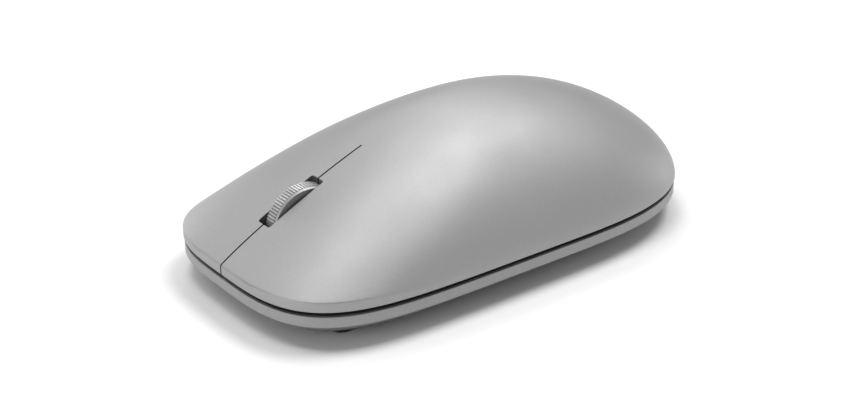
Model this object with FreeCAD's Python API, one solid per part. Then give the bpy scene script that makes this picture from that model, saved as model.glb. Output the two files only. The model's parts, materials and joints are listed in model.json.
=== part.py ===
"""Low wireless computer mouse: two-part shell with a slit crown, ribbed metal wheel and two AAA cells.

Millimetres, +Z up, front (wheel end) at -Y, origin on the resting surface under the middle.
"""
import FreeCAD
import Part

import math
import os

Vector = FreeCAD.Vector
UP = Vector(0, 0, 1)
ALONG = Vector(0, 1, 0)
ACROSS = Vector(1, 0, 0)
FAR = 100.0
OVER = 1.0
ROOT = 0.3
TOUCH = 0.05

# ---- overall size ----
LENGTH = 107.2
WIDTH = 60.4
HEIGHT = 31.2

# ---- plan outline: two superellipse halves that meet at the widest station ----
WIDEST_Y = 4.7
FRONT_POWER_Y, FRONT_POWER_X = 5.5, 3.3
REAR_POWER_Y, REAR_POWER_X = 3.4, 2.05
PLAN_POINTS = 96

# ---- heights of the stack ----
FOOT_STANDOFF = 0.6
GROOVE = 0.95
RIM_Z = 8.0
BASE_RIM_Z = RIM_Z - GROOVE
BAND_HEIGHT = 2.15
BAND_Z = BASE_RIM_Z - BAND_HEIGHT

# ---- crown: how round it is towards the front, the sides and the rear ----
FRONT_SKIRT, SIDE_SKIRT = 2.0, 0.5
SHARP_Y, SOFT_Y = -40.1, -18.9
FRONT_SHOULDER, SIDE_SHOULDER, REAR_SHOULDER = 1.10, 1.56, 1.64
FRONT_SLOPE, SIDE_SLOPE, REAR_SLOPE = 2.17, 1.55, 0.78
BLEND_POWER = 3.0
CROWN_GRID = 33
INNER_RIM_SINK = 0.6
TOP_WALL = 1.8
WELD = 0.4
PRESS_WIDE, PRESS_LONG = 3.2, 2.0
PALM_RIB_HALF, PALM_RIB_FRONT_Y, PALM_RIB_REAR_Y, PALM_RIB_DEPTH = 0.6, 10.0, 34.0, 9.0

# ---- slit, wheel slot and flexure line ----
SLIT = 0.4
SLIT_END_Y = -20.7
FLEX_GAP = 0.35
SLOT_FRONT_Y, SLOT_REAR_Y = -43.8, -31.05
SLOT_GAP = 0.5
SLOT_CORNER = 0.5
WHEEL_CLEARANCE = 0.45

# ---- base ----
BASE_INSET = 0.15
UNDERCUT = 6.6
UNDERCUT_BULGE = 0.25
BASE_WALL = 1.6
FLOOR = 1.5
SHELF_DROP, SHELF_MARGIN, SHELF_THICK = 1.55, 0.25, 1.0
REBATE_LIP, REBATE_DEPTH = 0.65, 0.8

# ---- chassis ring seen in the groove ----
RING_GAP, RING_WALL, RING_LUG = 1.2, 1.2, 1.4
RING_TOP_Z = 8.3
LUG_R, NUT_TALL = 2.4, 3.2
RING_INSET = TOP_WALL + RING_GAP

# ---- circuit board ----
BOARD_Z, BOARD_THICK = 3.6, 1.0
BOARD_INSET, BOARD_LIP = 7.4, 0.6
BOARD_REAR_Y = -8.2
BAY_GAP, BAY_REAR_Y = 1.85, -22.8

# ---- scroll wheel ----
WHEEL_Y, WHEEL_Z, WHEEL_R, WHEEL_WIDTH = -34.6, 13.05, 8.2, 3.0
RIBS, RIB_DEPTH, RIB_SHARE = 84, 0.16, 0.5
TYRE_CHAMFER, TYRE_WALL = 0.45, 1.5
RIB_ROOT = 0.1
AXLE_R, HEX_R, RUNNING = 1.0, 1.1, 0.05
HUB_FIT, HUB_RECESS, HUB_RIM, HUB_BOSS_R, WEB_THICK = 0.02, 0.2, 1.2, 2.4, 1.2
JOURNAL_OUT, SHOULDER_R, SHOULDER_OUT, DRIVE_START = 0.4, 2.0, 0.2, 0.3

# ---- wheel cradle ----
ARM_GAP, ARM_THICK = 0.35, 1.2
PIVOT_Y, PIVOT_Z, PIVOT_R = -46.0, 7.6, 0.9
POST_THICK, POST_GAP, POST_HALF = 1.4, 0.2, 1.9
ARM_REAR_GAP, ARM_TOP, ARM_CREST, ARM_BELLY = 1.0, 2.2, 3.0, 1.8
ARM_NOSE, NOSE_DOWN, NOSE_UP, NOSE_BAR = 1.7, 1.4, 1.6, 1.6
TONGUE_SAG, BRIDGE_LONG, TONGUE_LAP, TONGUE_OUT, PIN_LAP = 0.4, 1.8, 0.5, 1.4, 0.2
TONGUE_Y, TONGUE_WIDTH, TONGUE_THICK = -19.4, 4.0, 1.4
SPRING_Y, SPRING_COIL_R, SPRING_WIRE_R, SPRING_TURNS = -24.6, 1.35, 0.2, 4
SPIGOT_GAP, SPIGOT_TALL = 0.2, 1.6
COIL_SECTIONS = 12

# ---- encoder ----
ENCODER_WIDE, ENCODER_DOWN, ENCODER_UP, ENCODER_THICK = 7.0, 4.2, 2.4, 3.2
ENCODER_WALL, DRUM_FIT, SHAFT_FIT, HEX_FIT = 0.5, 0.1, 0.3, 0.03
ROTOR_R, ROTOR_THICK = 2.2, 2.2

# ---- snap switches under the buttons ----
SWITCH_GAP, SWITCH_Y = 1.6, -34.0
SWITCH_WIDE, SWITCH_LONG, SWITCH_TALL = 5.8, 12.8, 6.5
PLUNGER_Y, PLUNGER_WIDE, PLUNGER_LONG, PLUNGER_OUT, PLUNGER_IN = -38.0, 2.6, 1.2, 0.9, 1.5
PLUNGER_SPARE, SWITCH_CHAMFER = 0.6, 0.4
TACT_SIZE, TACT_TALL, TACT_PLUNGER_R, TACT_WELL = 5.0, 3.4, 1.0, 1.6

# ---- cells and their bay ----
CELL_R, CELL_LONG, NUB_R, NUB_LONG = 5.25, 44.5, 1.9, 0.9
CELL_GAP, CELL_FLOOR_GAP = 0.35, 0.55
CELL_EDGE = 0.5
TRAY_WALL, TRAY_FIT, TRAY_SKIN_GAP, TRAY_FLOOR_GAP = 1.0, 0.3, 0.3, 0.2
SADDLE_HALF, SADDLE_FRONT, SADDLE_REAR, SADDLE_UP = 0.8, 12.0, 40.0, 2.6
TRAY_FRONT_Y = -7.0
CONTACT_THICK, CONTACT_HALF, CONTACT_SPRING_LONG = 0.4, 3.6, 2.9
CONTACT_COIL_R, CONTACT_WIRE_R, CONTACT_TURNS = 2.6, 0.25, 3

# ---- battery door ----
DOOR_MARGIN, DOOR_FRONT_Y, DOOR_REAR_Y, DOOR_CORNER = 0.95, -5.9, 43.2, 5.0
DOOR_GAP, DOOR_THICK = 0.2, 1.3
KNUCKLE_R, HINGE_PIN_R, HINGE_PIN_LONG = 0.65, 0.4, 1.0
DOOR_RIB_HALF, DOOR_RIB_FRONT, DOOR_RIB_REAR, DOOR_RIB_RISE = 1.0, 6.0, 7.0, 0.25
NOTCH_R, NOTCH_IN, NOTCH_DEPTH = 3.0, 6.0, 0.8

# ---- sensor ----
SENSOR_Y, APERTURE_R, APERTURE_FLARE, APERTURE_LIP = -14.0, 3.2, 1.2, 0.3
SENSOR_HALF, SENSOR_FRONT, SENSOR_REAR, SENSOR_TALL, SENSOR_EYE_R = 5.0, 2.9, 4.2, 2.0, 1.2
LENS_LONG, LENS_WIDE, LENS_PLATE, LENS_CORNER = 9.0, 12.0, 0.9, 1.0
LENS_COLLAR_R, LENS_WINDOW_R, LENS_DROP = 2.2, 2.7, 0.7
LED_HALF, LED_DEEP, LED_GAP, LED_TALL, LED_DOME_R = 1.4, 1.1, 0.4, 1.0, 0.5

# ---- underside controls ----
CONTROL_X, CONTROL_Y = 14.5, -14.0
SLIDER_TRAVEL, SLIDER_LONG, SLIDER_WIDE, LEVER = 2.0, 3.6, 2.6, 1.2
SLIDER_END_GAP, SLIDER_SIDE_GAP, SLIDER_SINK, SLIDER_FLANGE = 0.15, 0.1, 0.15, 0.4
FLANGE_SIDE, FLANGE_END = 0.8, 0.6
GRIPS, GRIP_STEP, GRIP_WIDE, GRIP_DEPTH = 4, 0.8, 0.3, 0.2
DISH_END, DISH_SIDE, DISH_DEPTH = 0.6, 0.8, 0.5
SLIDE_CASE_HALF, SLIDE_CASE_LONG, SLIDE_CASE_TALL, LEVER_ROOM, LEVER_IN = 1.4, 6.8, 0.85, 0.1, 0.4
PAIR_R, PAIR_FLANGE, PAIR_FLANGE_THICK, PAIR_FIT, PAIR_SINK = 2.2, 0.7, 0.35, 0.1, 0.25
DOME_R, DOME_TALL = 2.2, 0.6
STATUS_R, STATUS_Y, STATUS_FIT, STATUS_COLLAR, STATUS_COLLAR_TALL = 0.9, -20.0, 0.03, 0.5, 0.6

# ---- feet and screws ----
FOOT_X, FOOT_FRONT_Y, FOOT_REAR_Y = 18.6, -33.0, 24.0
FOOT_LONG, FOOT_WIDE, FOOT_RECESS, FOOT_FIT, FOOT_EDGE = 17.0, 4.8, 0.3, 0.1, 0.25
SCREW_R, SCREW_HEAD_R, SCREW_HEAD, SCREW_HEAD_FIT, SCREW_FIT = 1.0, 1.8, 1.2, 0.15, 0.1
RECESS_HALF_LONG, RECESS_HALF_WIDE, RECESS_DEPTH = 1.1, 0.2, 0.6
SHANK_FRONT, SHANK_REAR, SHANK_FIT = 3.4, 5.0, 0.02
BOSS_R, PILOT_R, PILOT_DEPTH = 2.3, 0.85, 7.0

FLOOR_TOP_Z = FOOT_STANDOFF + FLOOR
BOARD_TOP_Z = BOARD_Z + BOARD_THICK
SHELF_Z = BASE_RIM_Z - SHELF_DROP
SLOT_WIDTH = WHEEL_WIDTH + 2 * SLOT_GAP
CELL_X = CELL_R + CELL_GAP
CELL_Z = FLOOR_TOP_Z + CELL_R + CELL_FLOOR_GAP
DOOR_HALF = CELL_X + CELL_R + DOOR_MARGIN
ARM_OUTER = WHEEL_WIDTH / 2 + ARM_GAP + ARM_THICK
BAY_HALF = ARM_OUTER + ENCODER_THICK + BAY_GAP
SWITCH_X = BAY_HALF + SWITCH_WIDE / 2 + SWITCH_GAP
SWITCH_TOP_Z = BOARD_TOP_Z + SWITCH_TALL
TONGUE_Z = BOARD_TOP_Z + TACT_TALL + PLUNGER_OUT + TOUCH
RIM_REBATE = BASE_INSET + REBATE_LIP
REBATE_Z = BASE_RIM_Z - REBATE_DEPTH
POST_X = ARM_OUTER + POST_GAP
HINGE_Y, HINGE_Z = DOOR_FRONT_Y + DOOR_GAP + KNUCKLE_R, FOOT_STANDOFF + KNUCKLE_R
RECESS_TOP_Z = FOOT_STANDOFF + FOOT_RECESS
BOARD_PARTS = [
    (13.5, -21.0, 5.0, 5.0, 0.9), (-13.5, -21.0, 4.0, 4.0, 0.8), (12.0, -15.2, 3.2, 2.5, 0.8),
    (-12.0, -14.0, 2.9, 1.6, 1.1), (18.0, -20.5, 1.6, 0.8, 0.8), (18.0, -18.2, 1.6, 0.8, 0.8),
    (-18.2, -20.5, 1.6, 0.8, 0.8), (-18.2, -18.2, 1.6, 0.8, 0.8), (17.5, -12.4, 7.0, 2.0, 1.2),
    (-16.5, -11.0, 3.5, 2.8, 1.9), (9.6, -10.6, 1.6, 0.8, 0.8), (-9.0, -20.6, 1.6, 0.8, 0.8),
]


# ---------------------------------------------------------------- geometry helpers
def box(x0, x1, y0, y1, z0, z1):
    """Box between two corners."""
    return Part.makeBox(x1 - x0, y1 - y0, z1 - z0, Vector(x0, y0, z0))


def rod(radius, start, length, direction=UP):
    """Cylinder from a start point along a direction."""
    return Part.makeCylinder(radius, length, start, direction)


def rounded_plate(x0, x1, y0, y1, z0, z1, corner):
    """Box with its four upright edges rounded."""
    plate = box(x0, x1, y0, y1, z0, z1)
    upright = [e for e in plate.Edges if abs(e.BoundBox.ZLength - (z1 - z0)) < 1e-6]
    return plate.makeFillet(corner, upright)


def joined(*shapes):
    """One fused shape with its seams removed."""
    result = shapes[0]
    for shape in shapes[1:]:
        result = result.fuse(shape)
    return result.removeSplitter()


def smooth(value):
    """Smooth step from 0 to 1."""
    value = min(max(value, 0.0), 1.0)
    return value * value * (3 - 2 * value)


def reach(angle, squareness, gap=0.0):
    """Distance from the crown's centre to the outline, an ellipse at squareness 0."""
    across, along = abs(math.cos(angle)), abs(math.sin(angle))
    front = math.sin(angle) < 0
    half_long = (LENGTH / 2 + WIDEST_Y if front else LENGTH / 2 - WIDEST_Y) - gap
    power_y = 2 + ((FRONT_POWER_Y if front else REAR_POWER_Y) - 2) * squareness
    power_x = 2 + ((FRONT_POWER_X if front else REAR_POWER_X) - 2) * squareness
    low, high = 1.0, LENGTH
    for _ in range(50):
        middle = (low + high) / 2
        level = (middle * across / (WIDTH / 2 - gap)) ** power_x + (middle * along / half_long) ** power_y
        low, high = (middle, high) if level < 1 else (low, middle)
    return (low + high) / 2


def crown_point(angle, share, gap=0.0):
    """Point of the crown's skin; share is 0 at its top and 1 at its rim, and gap is the depth below the skin."""
    away = reach(angle, share**2, gap) * share
    rim_y = WIDEST_Y + reach(angle, 1.0) * math.sin(angle)
    front = 1 - smooth((rim_y - SHARP_Y) / (SOFT_Y - SHARP_Y))
    rear = smooth(2 * rim_y / LENGTH)

    half_long = (LENGTH / 2 + WIDEST_Y if math.sin(angle) < 0 else LENGTH / 2 - WIDEST_Y) - gap
    lengthwise = (math.sin(angle) / half_long) ** 2
    lengthwise = lengthwise / (lengthwise + (math.cos(angle) / (WIDTH / 2 - gap)) ** 2)
    near_rim = share**BLEND_POWER
    ahead = front * near_rim + (lengthwise * (1 - near_rim) if math.sin(angle) < 0 else 0)
    behind = rear * near_rim + (0 if math.sin(angle) < 0 else lengthwise * (1 - near_rim))

    def mixed(at_front, at_side, at_rear):
        return at_front * ahead + (1 - ahead) * (at_side * (1 - behind) + at_rear * behind)

    edge_z = RIM_Z + FRONT_SKIRT * front + SIDE_SKIRT * (1 - front) - INNER_RIM_SINK * gap
    slope = mixed(FRONT_SLOPE, SIDE_SLOPE, REAR_SLOPE)
    shoulder = mixed(FRONT_SHOULDER, SIDE_SHOULDER, REAR_SHOULDER)
    fall = (math.sqrt(1 + (slope * share) ** 2) - 1) / (math.sqrt(1 + slope**2) - 1)
    z = edge_z + (HEIGHT - gap - edge_z) * max(1 - fall, 0.0) ** (1 / shoulder)
    return Vector(away * math.cos(angle), WIDEST_Y + away * math.sin(angle), z)


def crown_solid(gap, bottom_z):
    """Solid under the crown's skin, or under a copy of it that lies gap deeper, down to bottom_z."""
    steps = [2 * i / (CROWN_GRID - 1) - 1 for i in range(CROWN_GRID)]
    rows = []
    for a in steps:
        row = []
        for b in steps:
            u, v = a * math.sqrt(1 - b * b / 2), b * math.sqrt(1 - a * a / 2)
            share = math.sin(math.pi / 2 * min(math.hypot(u, v), 1.0))
            row.append(crown_point(math.atan2(v, u), share, gap))
        rows.append(row)
    skin = Part.BSplineSurface()
    skin.interpolate(rows)
    block = skin.toShape().extrude(Vector(0, 0, -2 * HEIGHT))
    return block.common(box(-FAR, FAR, -FAR, FAR, bottom_z, FAR))


def outline_wire(inset, z):
    """Closed smooth wire, inset from the plan outline."""
    points = []
    for i in range(PLAN_POINTS):
        angle = 2 * math.pi * i / PLAN_POINTS
        here, before, after = (
            Vector(r * math.cos(t), WIDEST_Y + r * math.sin(t), z)
            for t in (angle, angle - 0.01, angle + 0.01)
            for r in [reach(t, 1.0)]
        )
        along = (after - before).normalize()
        points.append(here + Vector(-along.y, along.x, 0) * inset)
    curve = Part.BSplineCurve()
    curve.interpolate(Points=points, PeriodicFlag=True)
    return Part.Wire(curve.toShape())


def prism(inset, z0, z1):
    """Upright block with the plan outline, inset all round."""
    return Part.Face(outline_wire(inset, z0)).extrude(Vector(0, 0, z1 - z0))


def coil(radius, wire_r, turns, length, start, direction=UP):
    """Open coil spring between two planes, its wire lying inside them."""
    steps = turns * COIL_SECTIONS
    pitch = (length - 2 * wire_r) / turns
    turn = FreeCAD.Rotation(UP, direction)
    rings = []
    for i in range(steps + 1):
        angle = 2 * math.pi * i / COIL_SECTIONS
        centre = Vector(radius * math.cos(angle), radius * math.sin(angle), wire_r + pitch * i / COIL_SECTIONS)
        along = Vector(-radius * math.sin(angle), radius * math.cos(angle), pitch / (2 * math.pi))
        circle = Part.makeCircle(wire_r, start + turn.multVec(centre), turn.multVec(along))
        rings.append(Part.Wire(circle))
    return Part.makeLoft(rings, True, True)


# ---------------------------------------------------------------- shells
def undercut_station(share, inward, lift):
    """Inset and height on the sloping underside, from its upper crease (0) to the flat floor (1)."""
    inset = BASE_INSET + inward + UNDERCUT * share
    drop = (BAND_Z - FOOT_STANDOFF) * share + 4 * UNDERCUT_BULGE * share * (1 - share)
    return inset, BAND_Z - drop + lift * share


def tray_like(inward, lift, top_z):
    """Solid dish with the base's outer form, moved inward and its floor lifted."""
    stations = [undercut_station(s / 3, inward, lift) for s in range(4)]
    wires = [outline_wire(inset, z) for inset, z in stations]
    dish = Part.makeLoft(wires, True)
    return joined(dish, prism(stations[0][0], stations[0][1], top_z))


def base_outer():
    """Outer form of the lower housing as a solid."""
    return tray_like(0.0, 0.0, BASE_RIM_Z)


def base_cavity(fit=0.0):
    """Space inside the lower housing, shrunk by a fit."""
    return tray_like(BASE_WALL + fit, FLOOR + fit, HEIGHT)


def foot_places():
    """Names and places of the feet, each with a screw under it."""
    return {
        "foot_front_left": (FOOT_X, FOOT_FRONT_Y),
        "foot_front_right": (-FOOT_X, FOOT_FRONT_Y),
        "foot_rear_left": (FOOT_X, FOOT_REAR_Y),
        "foot_rear_right": (-FOOT_X, FOOT_REAR_Y),
    }


def stadium(x, y, long, wide, z0, z1):
    """Upright plate with round ends, long along Y."""
    return rounded_plate(x - wide / 2, x + wide / 2, y - long / 2, y + long / 2, z0, z1, wide / 2 - 0.01)


def door_plate(gap, z0, z1):
    """Plan of the battery door, shrunk by a gap."""
    half, rear = DOOR_HALF - gap, DOOR_REAR_Y - gap
    return rounded_plate(-half, half, DOOR_FRONT_Y + gap, rear, z0, z1, DOOR_CORNER - gap).fuse(
        box(-half, half, DOOR_FRONT_Y + gap, rear - DOOR_CORNER, z0, z1)
    ).removeSplitter()


def base_shell():
    """Lower housing: band, undercut, floor, bosses, wheel posts and all underside openings."""
    shell = base_outer().cut(base_cavity()).cut(prism(RIM_REBATE, REBATE_Z, BASE_RIM_Z + OVER))
    shelf = prism(BASE_INSET + BASE_WALL / 2, SHELF_Z - SHELF_THICK, SHELF_Z)
    shell = shell.fuse(shelf.cut(prism(RING_INSET + RING_WALL + SHELF_MARGIN, 0, SHELF_Z + OVER)))
    root_z = FLOOR_TOP_Z - ROOT
    for x, y in foot_places().values():
        boss_top = BOARD_Z if y < 0 else SHELF_Z
        shell = shell.fuse(rod(BOSS_R, Vector(x, y, root_z), boss_top - root_z))
    for side in (-1, 1):
        x0, x1 = sorted((side * POST_X, side * (POST_X + POST_THICK)))
        shell = shell.fuse(box(x0, x1, PIVOT_Y - POST_HALF, PIVOT_Y + POST_HALF, root_z, PIVOT_Z + POST_HALF))
    spigot_r = SPRING_COIL_R - SPRING_WIRE_R - SPIGOT_GAP
    shell = shell.fuse(rod(spigot_r, Vector(0, SPRING_Y, root_z), SPIGOT_TALL))
    shell = shell.cut(rod(PIVOT_R + RUNNING, Vector(-FAR / 2, PIVOT_Y, PIVOT_Z), FAR, ACROSS))
    for x, y in foot_places().values():
        shell = shell.cut(stadium(x, y, FOOT_LONG + 2 * FOOT_FIT, FOOT_WIDE + 2 * FOOT_FIT, 0, RECESS_TOP_Z))
        counterbore_z = RECESS_TOP_Z + SCREW_HEAD + 2 * TOUCH
        shell = shell.cut(rod(SCREW_HEAD_R + SCREW_HEAD_FIT, Vector(x, y, 0), counterbore_z))
        shell = shell.cut(rod(SCREW_R + SCREW_FIT, Vector(x, y, 0), SHELF_Z + OVER))
    shell = shell.cut(door_plate(0.0, 0, FLOOR_TOP_Z + OVER))
    sockets = DOOR_HALF + HINGE_PIN_LONG
    shell = shell.cut(rod(HINGE_PIN_R + RUNNING, Vector(-sockets, HINGE_Y, HINGE_Z), 2 * sockets, ACROSS))
    cone = Part.makeCone(APERTURE_R + APERTURE_FLARE, APERTURE_R, FLOOR - APERTURE_LIP,
                         Vector(0, SENSOR_Y, FOOT_STANDOFF))
    shell = shell.cut(cone).cut(rod(APERTURE_R, Vector(0, SENSOR_Y, 0), FLOOR_TOP_Z + OVER))
    slot_long = SLIDER_LONG + SLIDER_TRAVEL + 2 * SLIDER_END_GAP
    slot_half = SLIDER_WIDE / 2 + SLIDER_SIDE_GAP
    shell = shell.cut(stadium(CONTROL_X, CONTROL_Y, slot_long + 2 * DISH_END, SLIDER_WIDE + 2 * DISH_SIDE,
                              0, FOOT_STANDOFF + DISH_DEPTH))
    shell = shell.cut(box(CONTROL_X - slot_half, CONTROL_X + slot_half,
                          CONTROL_Y - slot_long / 2, CONTROL_Y + slot_long / 2, 0, FLOOR_TOP_Z + OVER))
    shell = shell.cut(rod(PAIR_R + PAIR_FIT, Vector(-CONTROL_X, CONTROL_Y, 0), FLOOR_TOP_Z + OVER))
    return shell.cut(rod(STATUS_R + STATUS_FIT, Vector(-CONTROL_X, STATUS_Y, 0), FLOOR_TOP_Z + OVER))


def switch_rib(side):
    """Block inside a button that comes down onto its snap switch."""
    x = side * SWITCH_X
    low = SWITCH_TOP_Z + PLUNGER_OUT + TOUCH
    return box(x - PRESS_WIDE / 2, x + PRESS_WIDE / 2,
               PLUNGER_Y - PRESS_LONG / 2, PLUNGER_Y + PRESS_LONG / 2, low, FAR)


def top_pieces():
    """Palm cover and the two buttons, cut from one crowned shell along the slit and the flexure line."""
    shell = crown_solid(0.0, RIM_Z).cut(crown_solid(TOP_WALL, RIM_Z - OVER))
    slot = rounded_plate(-SLOT_WIDTH / 2, SLOT_WIDTH / 2, SLOT_FRONT_Y, SLOT_REAR_Y, 0, FAR, SLOT_CORNER)
    wheel_way = rod(WHEEL_R + WHEEL_CLEARANCE, Vector(-SLOT_WIDTH / 2, WHEEL_Y, WHEEL_Z), SLOT_WIDTH, ACROSS)
    shell = shell.cut(slot).cut(wheel_way)
    inside = crown_solid(TOP_WALL - WELD, RIM_Z - OVER)
    front_end = SLIT_END_Y - FLEX_GAP / 2
    left = shell.common(box(SLIT / 2, FAR, -FAR, front_end, 0, FAR)).fuse(switch_rib(1).common(inside))
    right = shell.common(box(-FAR, -SLIT / 2, -FAR, front_end, 0, FAR)).fuse(switch_rib(-1).common(inside))
    palm = shell.common(box(-FAR, FAR, front_end + FLEX_GAP, FAR, 0, FAR))
    for side in (-1, 1):
        x, y = side * FOOT_X, FOOT_REAR_Y
        boss_z = SHELF_Z + RING_LUG + TOUCH
        boss = rod(BOSS_R, Vector(x, y, boss_z), FAR).common(inside.fuse(box(-FAR, FAR, -FAR, FAR, 0, RIM_Z)))
        palm = palm.fuse(boss).cut(rod(PILOT_R, Vector(x, y, boss_z - OVER), PILOT_DEPTH + OVER))
    rib = box(-PALM_RIB_HALF, PALM_RIB_HALF, PALM_RIB_FRONT_Y, PALM_RIB_REAR_Y, HEIGHT - PALM_RIB_DEPTH, FAR)
    rib = rib.common(inside)
    return left, right, palm.fuse(rib)


def chassis_ring():
    """Dark inner ring: a flange in the base's rim, a wall that closes the groove, and lugs the screws clamp."""
    flange = prism(RIM_REBATE + TOUCH, REBATE_Z, BASE_RIM_Z)
    ring = flange.fuse(prism(RING_INSET, SHELF_Z, RING_TOP_Z)).cut(prism(RING_INSET + RING_WALL, 0, FAR))
    inner_line = prism(RING_INSET + RING_WALL / 2, SHELF_Z, RING_TOP_Z)
    for x, y in foot_places().values():
        side = 1 if x > 0 else -1
        arm = box(min(x, side * WIDTH), max(x, side * WIDTH), y - LUG_R, y + LUG_R, SHELF_Z, SHELF_Z + RING_LUG)
        ring = ring.fuse(arm.common(inner_line))
        low = BOARD_TOP_Z if y < 0 else SHELF_Z
        high = SHELF_Z + (NUT_TALL if y < 0 else RING_LUG)
        way = PILOT_R if y < 0 else SCREW_R + SCREW_FIT
        ring = ring.fuse(rod(LUG_R, Vector(x, y, low), high - low))
        ring = ring.cut(rod(way, Vector(x, y, low - OVER), high - low + 2 * OVER))
    return ring.removeSplitter()


# ---------------------------------------------------------------- board and electronics
def circuit_board():
    """U-shaped board: the wheel bay is open to the front."""
    board = prism(BOARD_INSET, BOARD_Z, BOARD_TOP_Z)
    board = board.common(box(-FAR, FAR, -FAR, BOARD_REAR_Y, 0, FAR))
    board = board.cut(box(-BAY_HALF, BAY_HALF, -FAR, BAY_REAR_Y, 0, FAR))
    board = board.cut(rod(APERTURE_R - BOARD_LIP, Vector(0, SENSOR_Y, 0), FAR))
    for x, y in foot_places().values():
        if y < 0:
            board = board.cut(rod(SCREW_R + SCREW_FIT, Vector(x, y, 0), FAR))
    return board


def plunger_block(x, grow, z0, z1):
    """Upright bar with the plunger's plan, grown all round."""
    half, deep = PLUNGER_WIDE / 2 + grow, PLUNGER_LONG / 2 + grow
    return box(x - half, x + half, PLUNGER_Y - deep, PLUNGER_Y + deep, z0, z1)


def snap_switch(side):
    """Snap switch case with its plunger well."""
    x = side * SWITCH_X
    case = box(x - SWITCH_WIDE / 2, x + SWITCH_WIDE / 2, SWITCH_Y - SWITCH_LONG / 2, SWITCH_Y + SWITCH_LONG / 2,
               BOARD_TOP_Z, SWITCH_TOP_Z)
    edges = [e for e in case.Edges if e.BoundBox.ZMin > SWITCH_TOP_Z - 1e-6]
    case = case.makeChamfer(SWITCH_CHAMFER, edges)
    return case.cut(plunger_block(x, RUNNING, SWITCH_TOP_Z - PLUNGER_IN - PLUNGER_SPARE, SWITCH_TOP_Z + OVER))


def snap_plunger(side):
    """Plunger that stands out of a snap switch."""
    return plunger_block(side * SWITCH_X, 0.0, SWITCH_TOP_Z - PLUNGER_IN, SWITCH_TOP_Z + PLUNGER_OUT)


def middle_switch():
    """Tactile switch under the cradle's tongue."""
    half = TACT_SIZE / 2
    case = box(-half, half, TONGUE_Y - half, TONGUE_Y + half, BOARD_TOP_Z, BOARD_TOP_Z + TACT_TALL)
    return case.cut(rod(TACT_PLUNGER_R + RUNNING, Vector(0, TONGUE_Y, BOARD_TOP_Z + TACT_WELL), TACT_TALL))


def middle_plunger():
    """Plunger of the middle switch, standing clear of the bottom of its well."""
    low = TACT_WELL + PLUNGER_SPARE
    return rod(TACT_PLUNGER_R, Vector(0, TONGUE_Y, BOARD_TOP_Z + low), TACT_TALL - low + PLUNGER_OUT)


def chips():
    """Surface parts on the board: controller, radio, crystal, regulator, capacitors and chip antenna."""
    return Part.makeCompound([
        box(x - wide / 2, x + wide / 2, y - deep / 2, y + deep / 2, BOARD_TOP_Z, BOARD_TOP_Z + tall)
        for x, y, wide, deep, tall in BOARD_PARTS
    ])


def sensor_chip():
    """Optical sensor package over the aperture, with its eye."""
    body = box(-SENSOR_HALF, SENSOR_HALF, SENSOR_Y - SENSOR_FRONT, SENSOR_Y + SENSOR_REAR,
               BOARD_TOP_Z, BOARD_TOP_Z + SENSOR_TALL)
    return body.cut(rod(SENSOR_EYE_R, Vector(0, SENSOR_Y, 0), BOARD_TOP_Z + SENSOR_TALL / 2))


def sensor_lens():
    """Clear moulding between floor and board, its window dropped into the aperture."""
    low, high = FLOOR_TOP_Z + TOUCH, BOARD_Z - TOUCH
    plate = rounded_plate(-LENS_WIDE / 2, LENS_WIDE / 2, SENSOR_Y - LENS_LONG / 2, SENSOR_Y + LENS_LONG / 2,
                          low, low + LENS_PLATE, LENS_CORNER)
    collar = rod(LENS_COLLAR_R, Vector(0, SENSOR_Y, low), high - low)
    window = Part.makeCone(LENS_COLLAR_R, LENS_WINDOW_R, LENS_DROP, Vector(0, SENSOR_Y, low - LENS_DROP))
    return joined(plate, collar, window)


def sensor_led():
    """Emitter on the board beside the sensor."""
    near = SENSOR_Y + SENSOR_REAR + LED_GAP
    case = box(-LED_HALF, LED_HALF, near, near + LED_DEEP, BOARD_TOP_Z, BOARD_TOP_Z + LED_TALL)
    dome = rod(LED_DOME_R, Vector(0, near + LED_DEEP / 2, BOARD_TOP_Z + LED_TALL), LED_DOME_R)
    return joined(case, dome)


# ---------------------------------------------------------------- wheel group
def wheel_tyre():
    """Metal tyre: polished chamfers either side of a tread with fine cross ribs."""
    half = WHEEL_WIDTH / 2
    tread_half = half - TYRE_CHAMFER
    root_r = WHEEL_R - RIB_DEPTH
    profile = [(-half, root_r - TYRE_CHAMFER), (-tread_half, root_r), (tread_half, root_r),
               (half, root_r - TYRE_CHAMFER), (half, WHEEL_R - TYRE_WALL), (-half, WHEEL_R - TYRE_WALL)]
    corners = [Vector(x, WHEEL_Y, WHEEL_Z + r) for x, r in profile]
    face = Part.Face(Part.makePolygon(corners + corners[:1]))
    tyre = face.revolve(Vector(0, WHEEL_Y, WHEEL_Z), ACROSS, 360)
    wide = 2 * math.pi * WHEEL_R / RIBS * RIB_SHARE
    rib = box(-tread_half, tread_half, WHEEL_Y - wide / 2, WHEEL_Y + wide / 2,
              WHEEL_Z + root_r - RIB_ROOT, WHEEL_Z + WHEEL_R)
    ribs = []
    for i in range(RIBS):
        copy = rib.copy()
        copy.rotate(Vector(0, WHEEL_Y, WHEEL_Z), ACROSS, 360 * i / RIBS)
        ribs.append(copy)
    return tyre.fuse(ribs)


def hexagon(radius, x, long):
    """Six-sided bar on the wheel's axis, from x towards +X, or -X for a negative length."""
    corners = [Vector(x, WHEEL_Y + radius * math.cos(t), WHEEL_Z + radius * math.sin(t))
               for t in (math.radians(60 * i) for i in range(7))]
    return Part.Face(Part.makePolygon(corners)).extrude(Vector(long, 0, 0))


def wheel_rod(radius, half):
    """Round bar on the wheel's axis, centred on the middle plane."""
    return rod(radius, Vector(-half, WHEEL_Y, WHEEL_Z), 2 * half, ACROSS)


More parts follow.
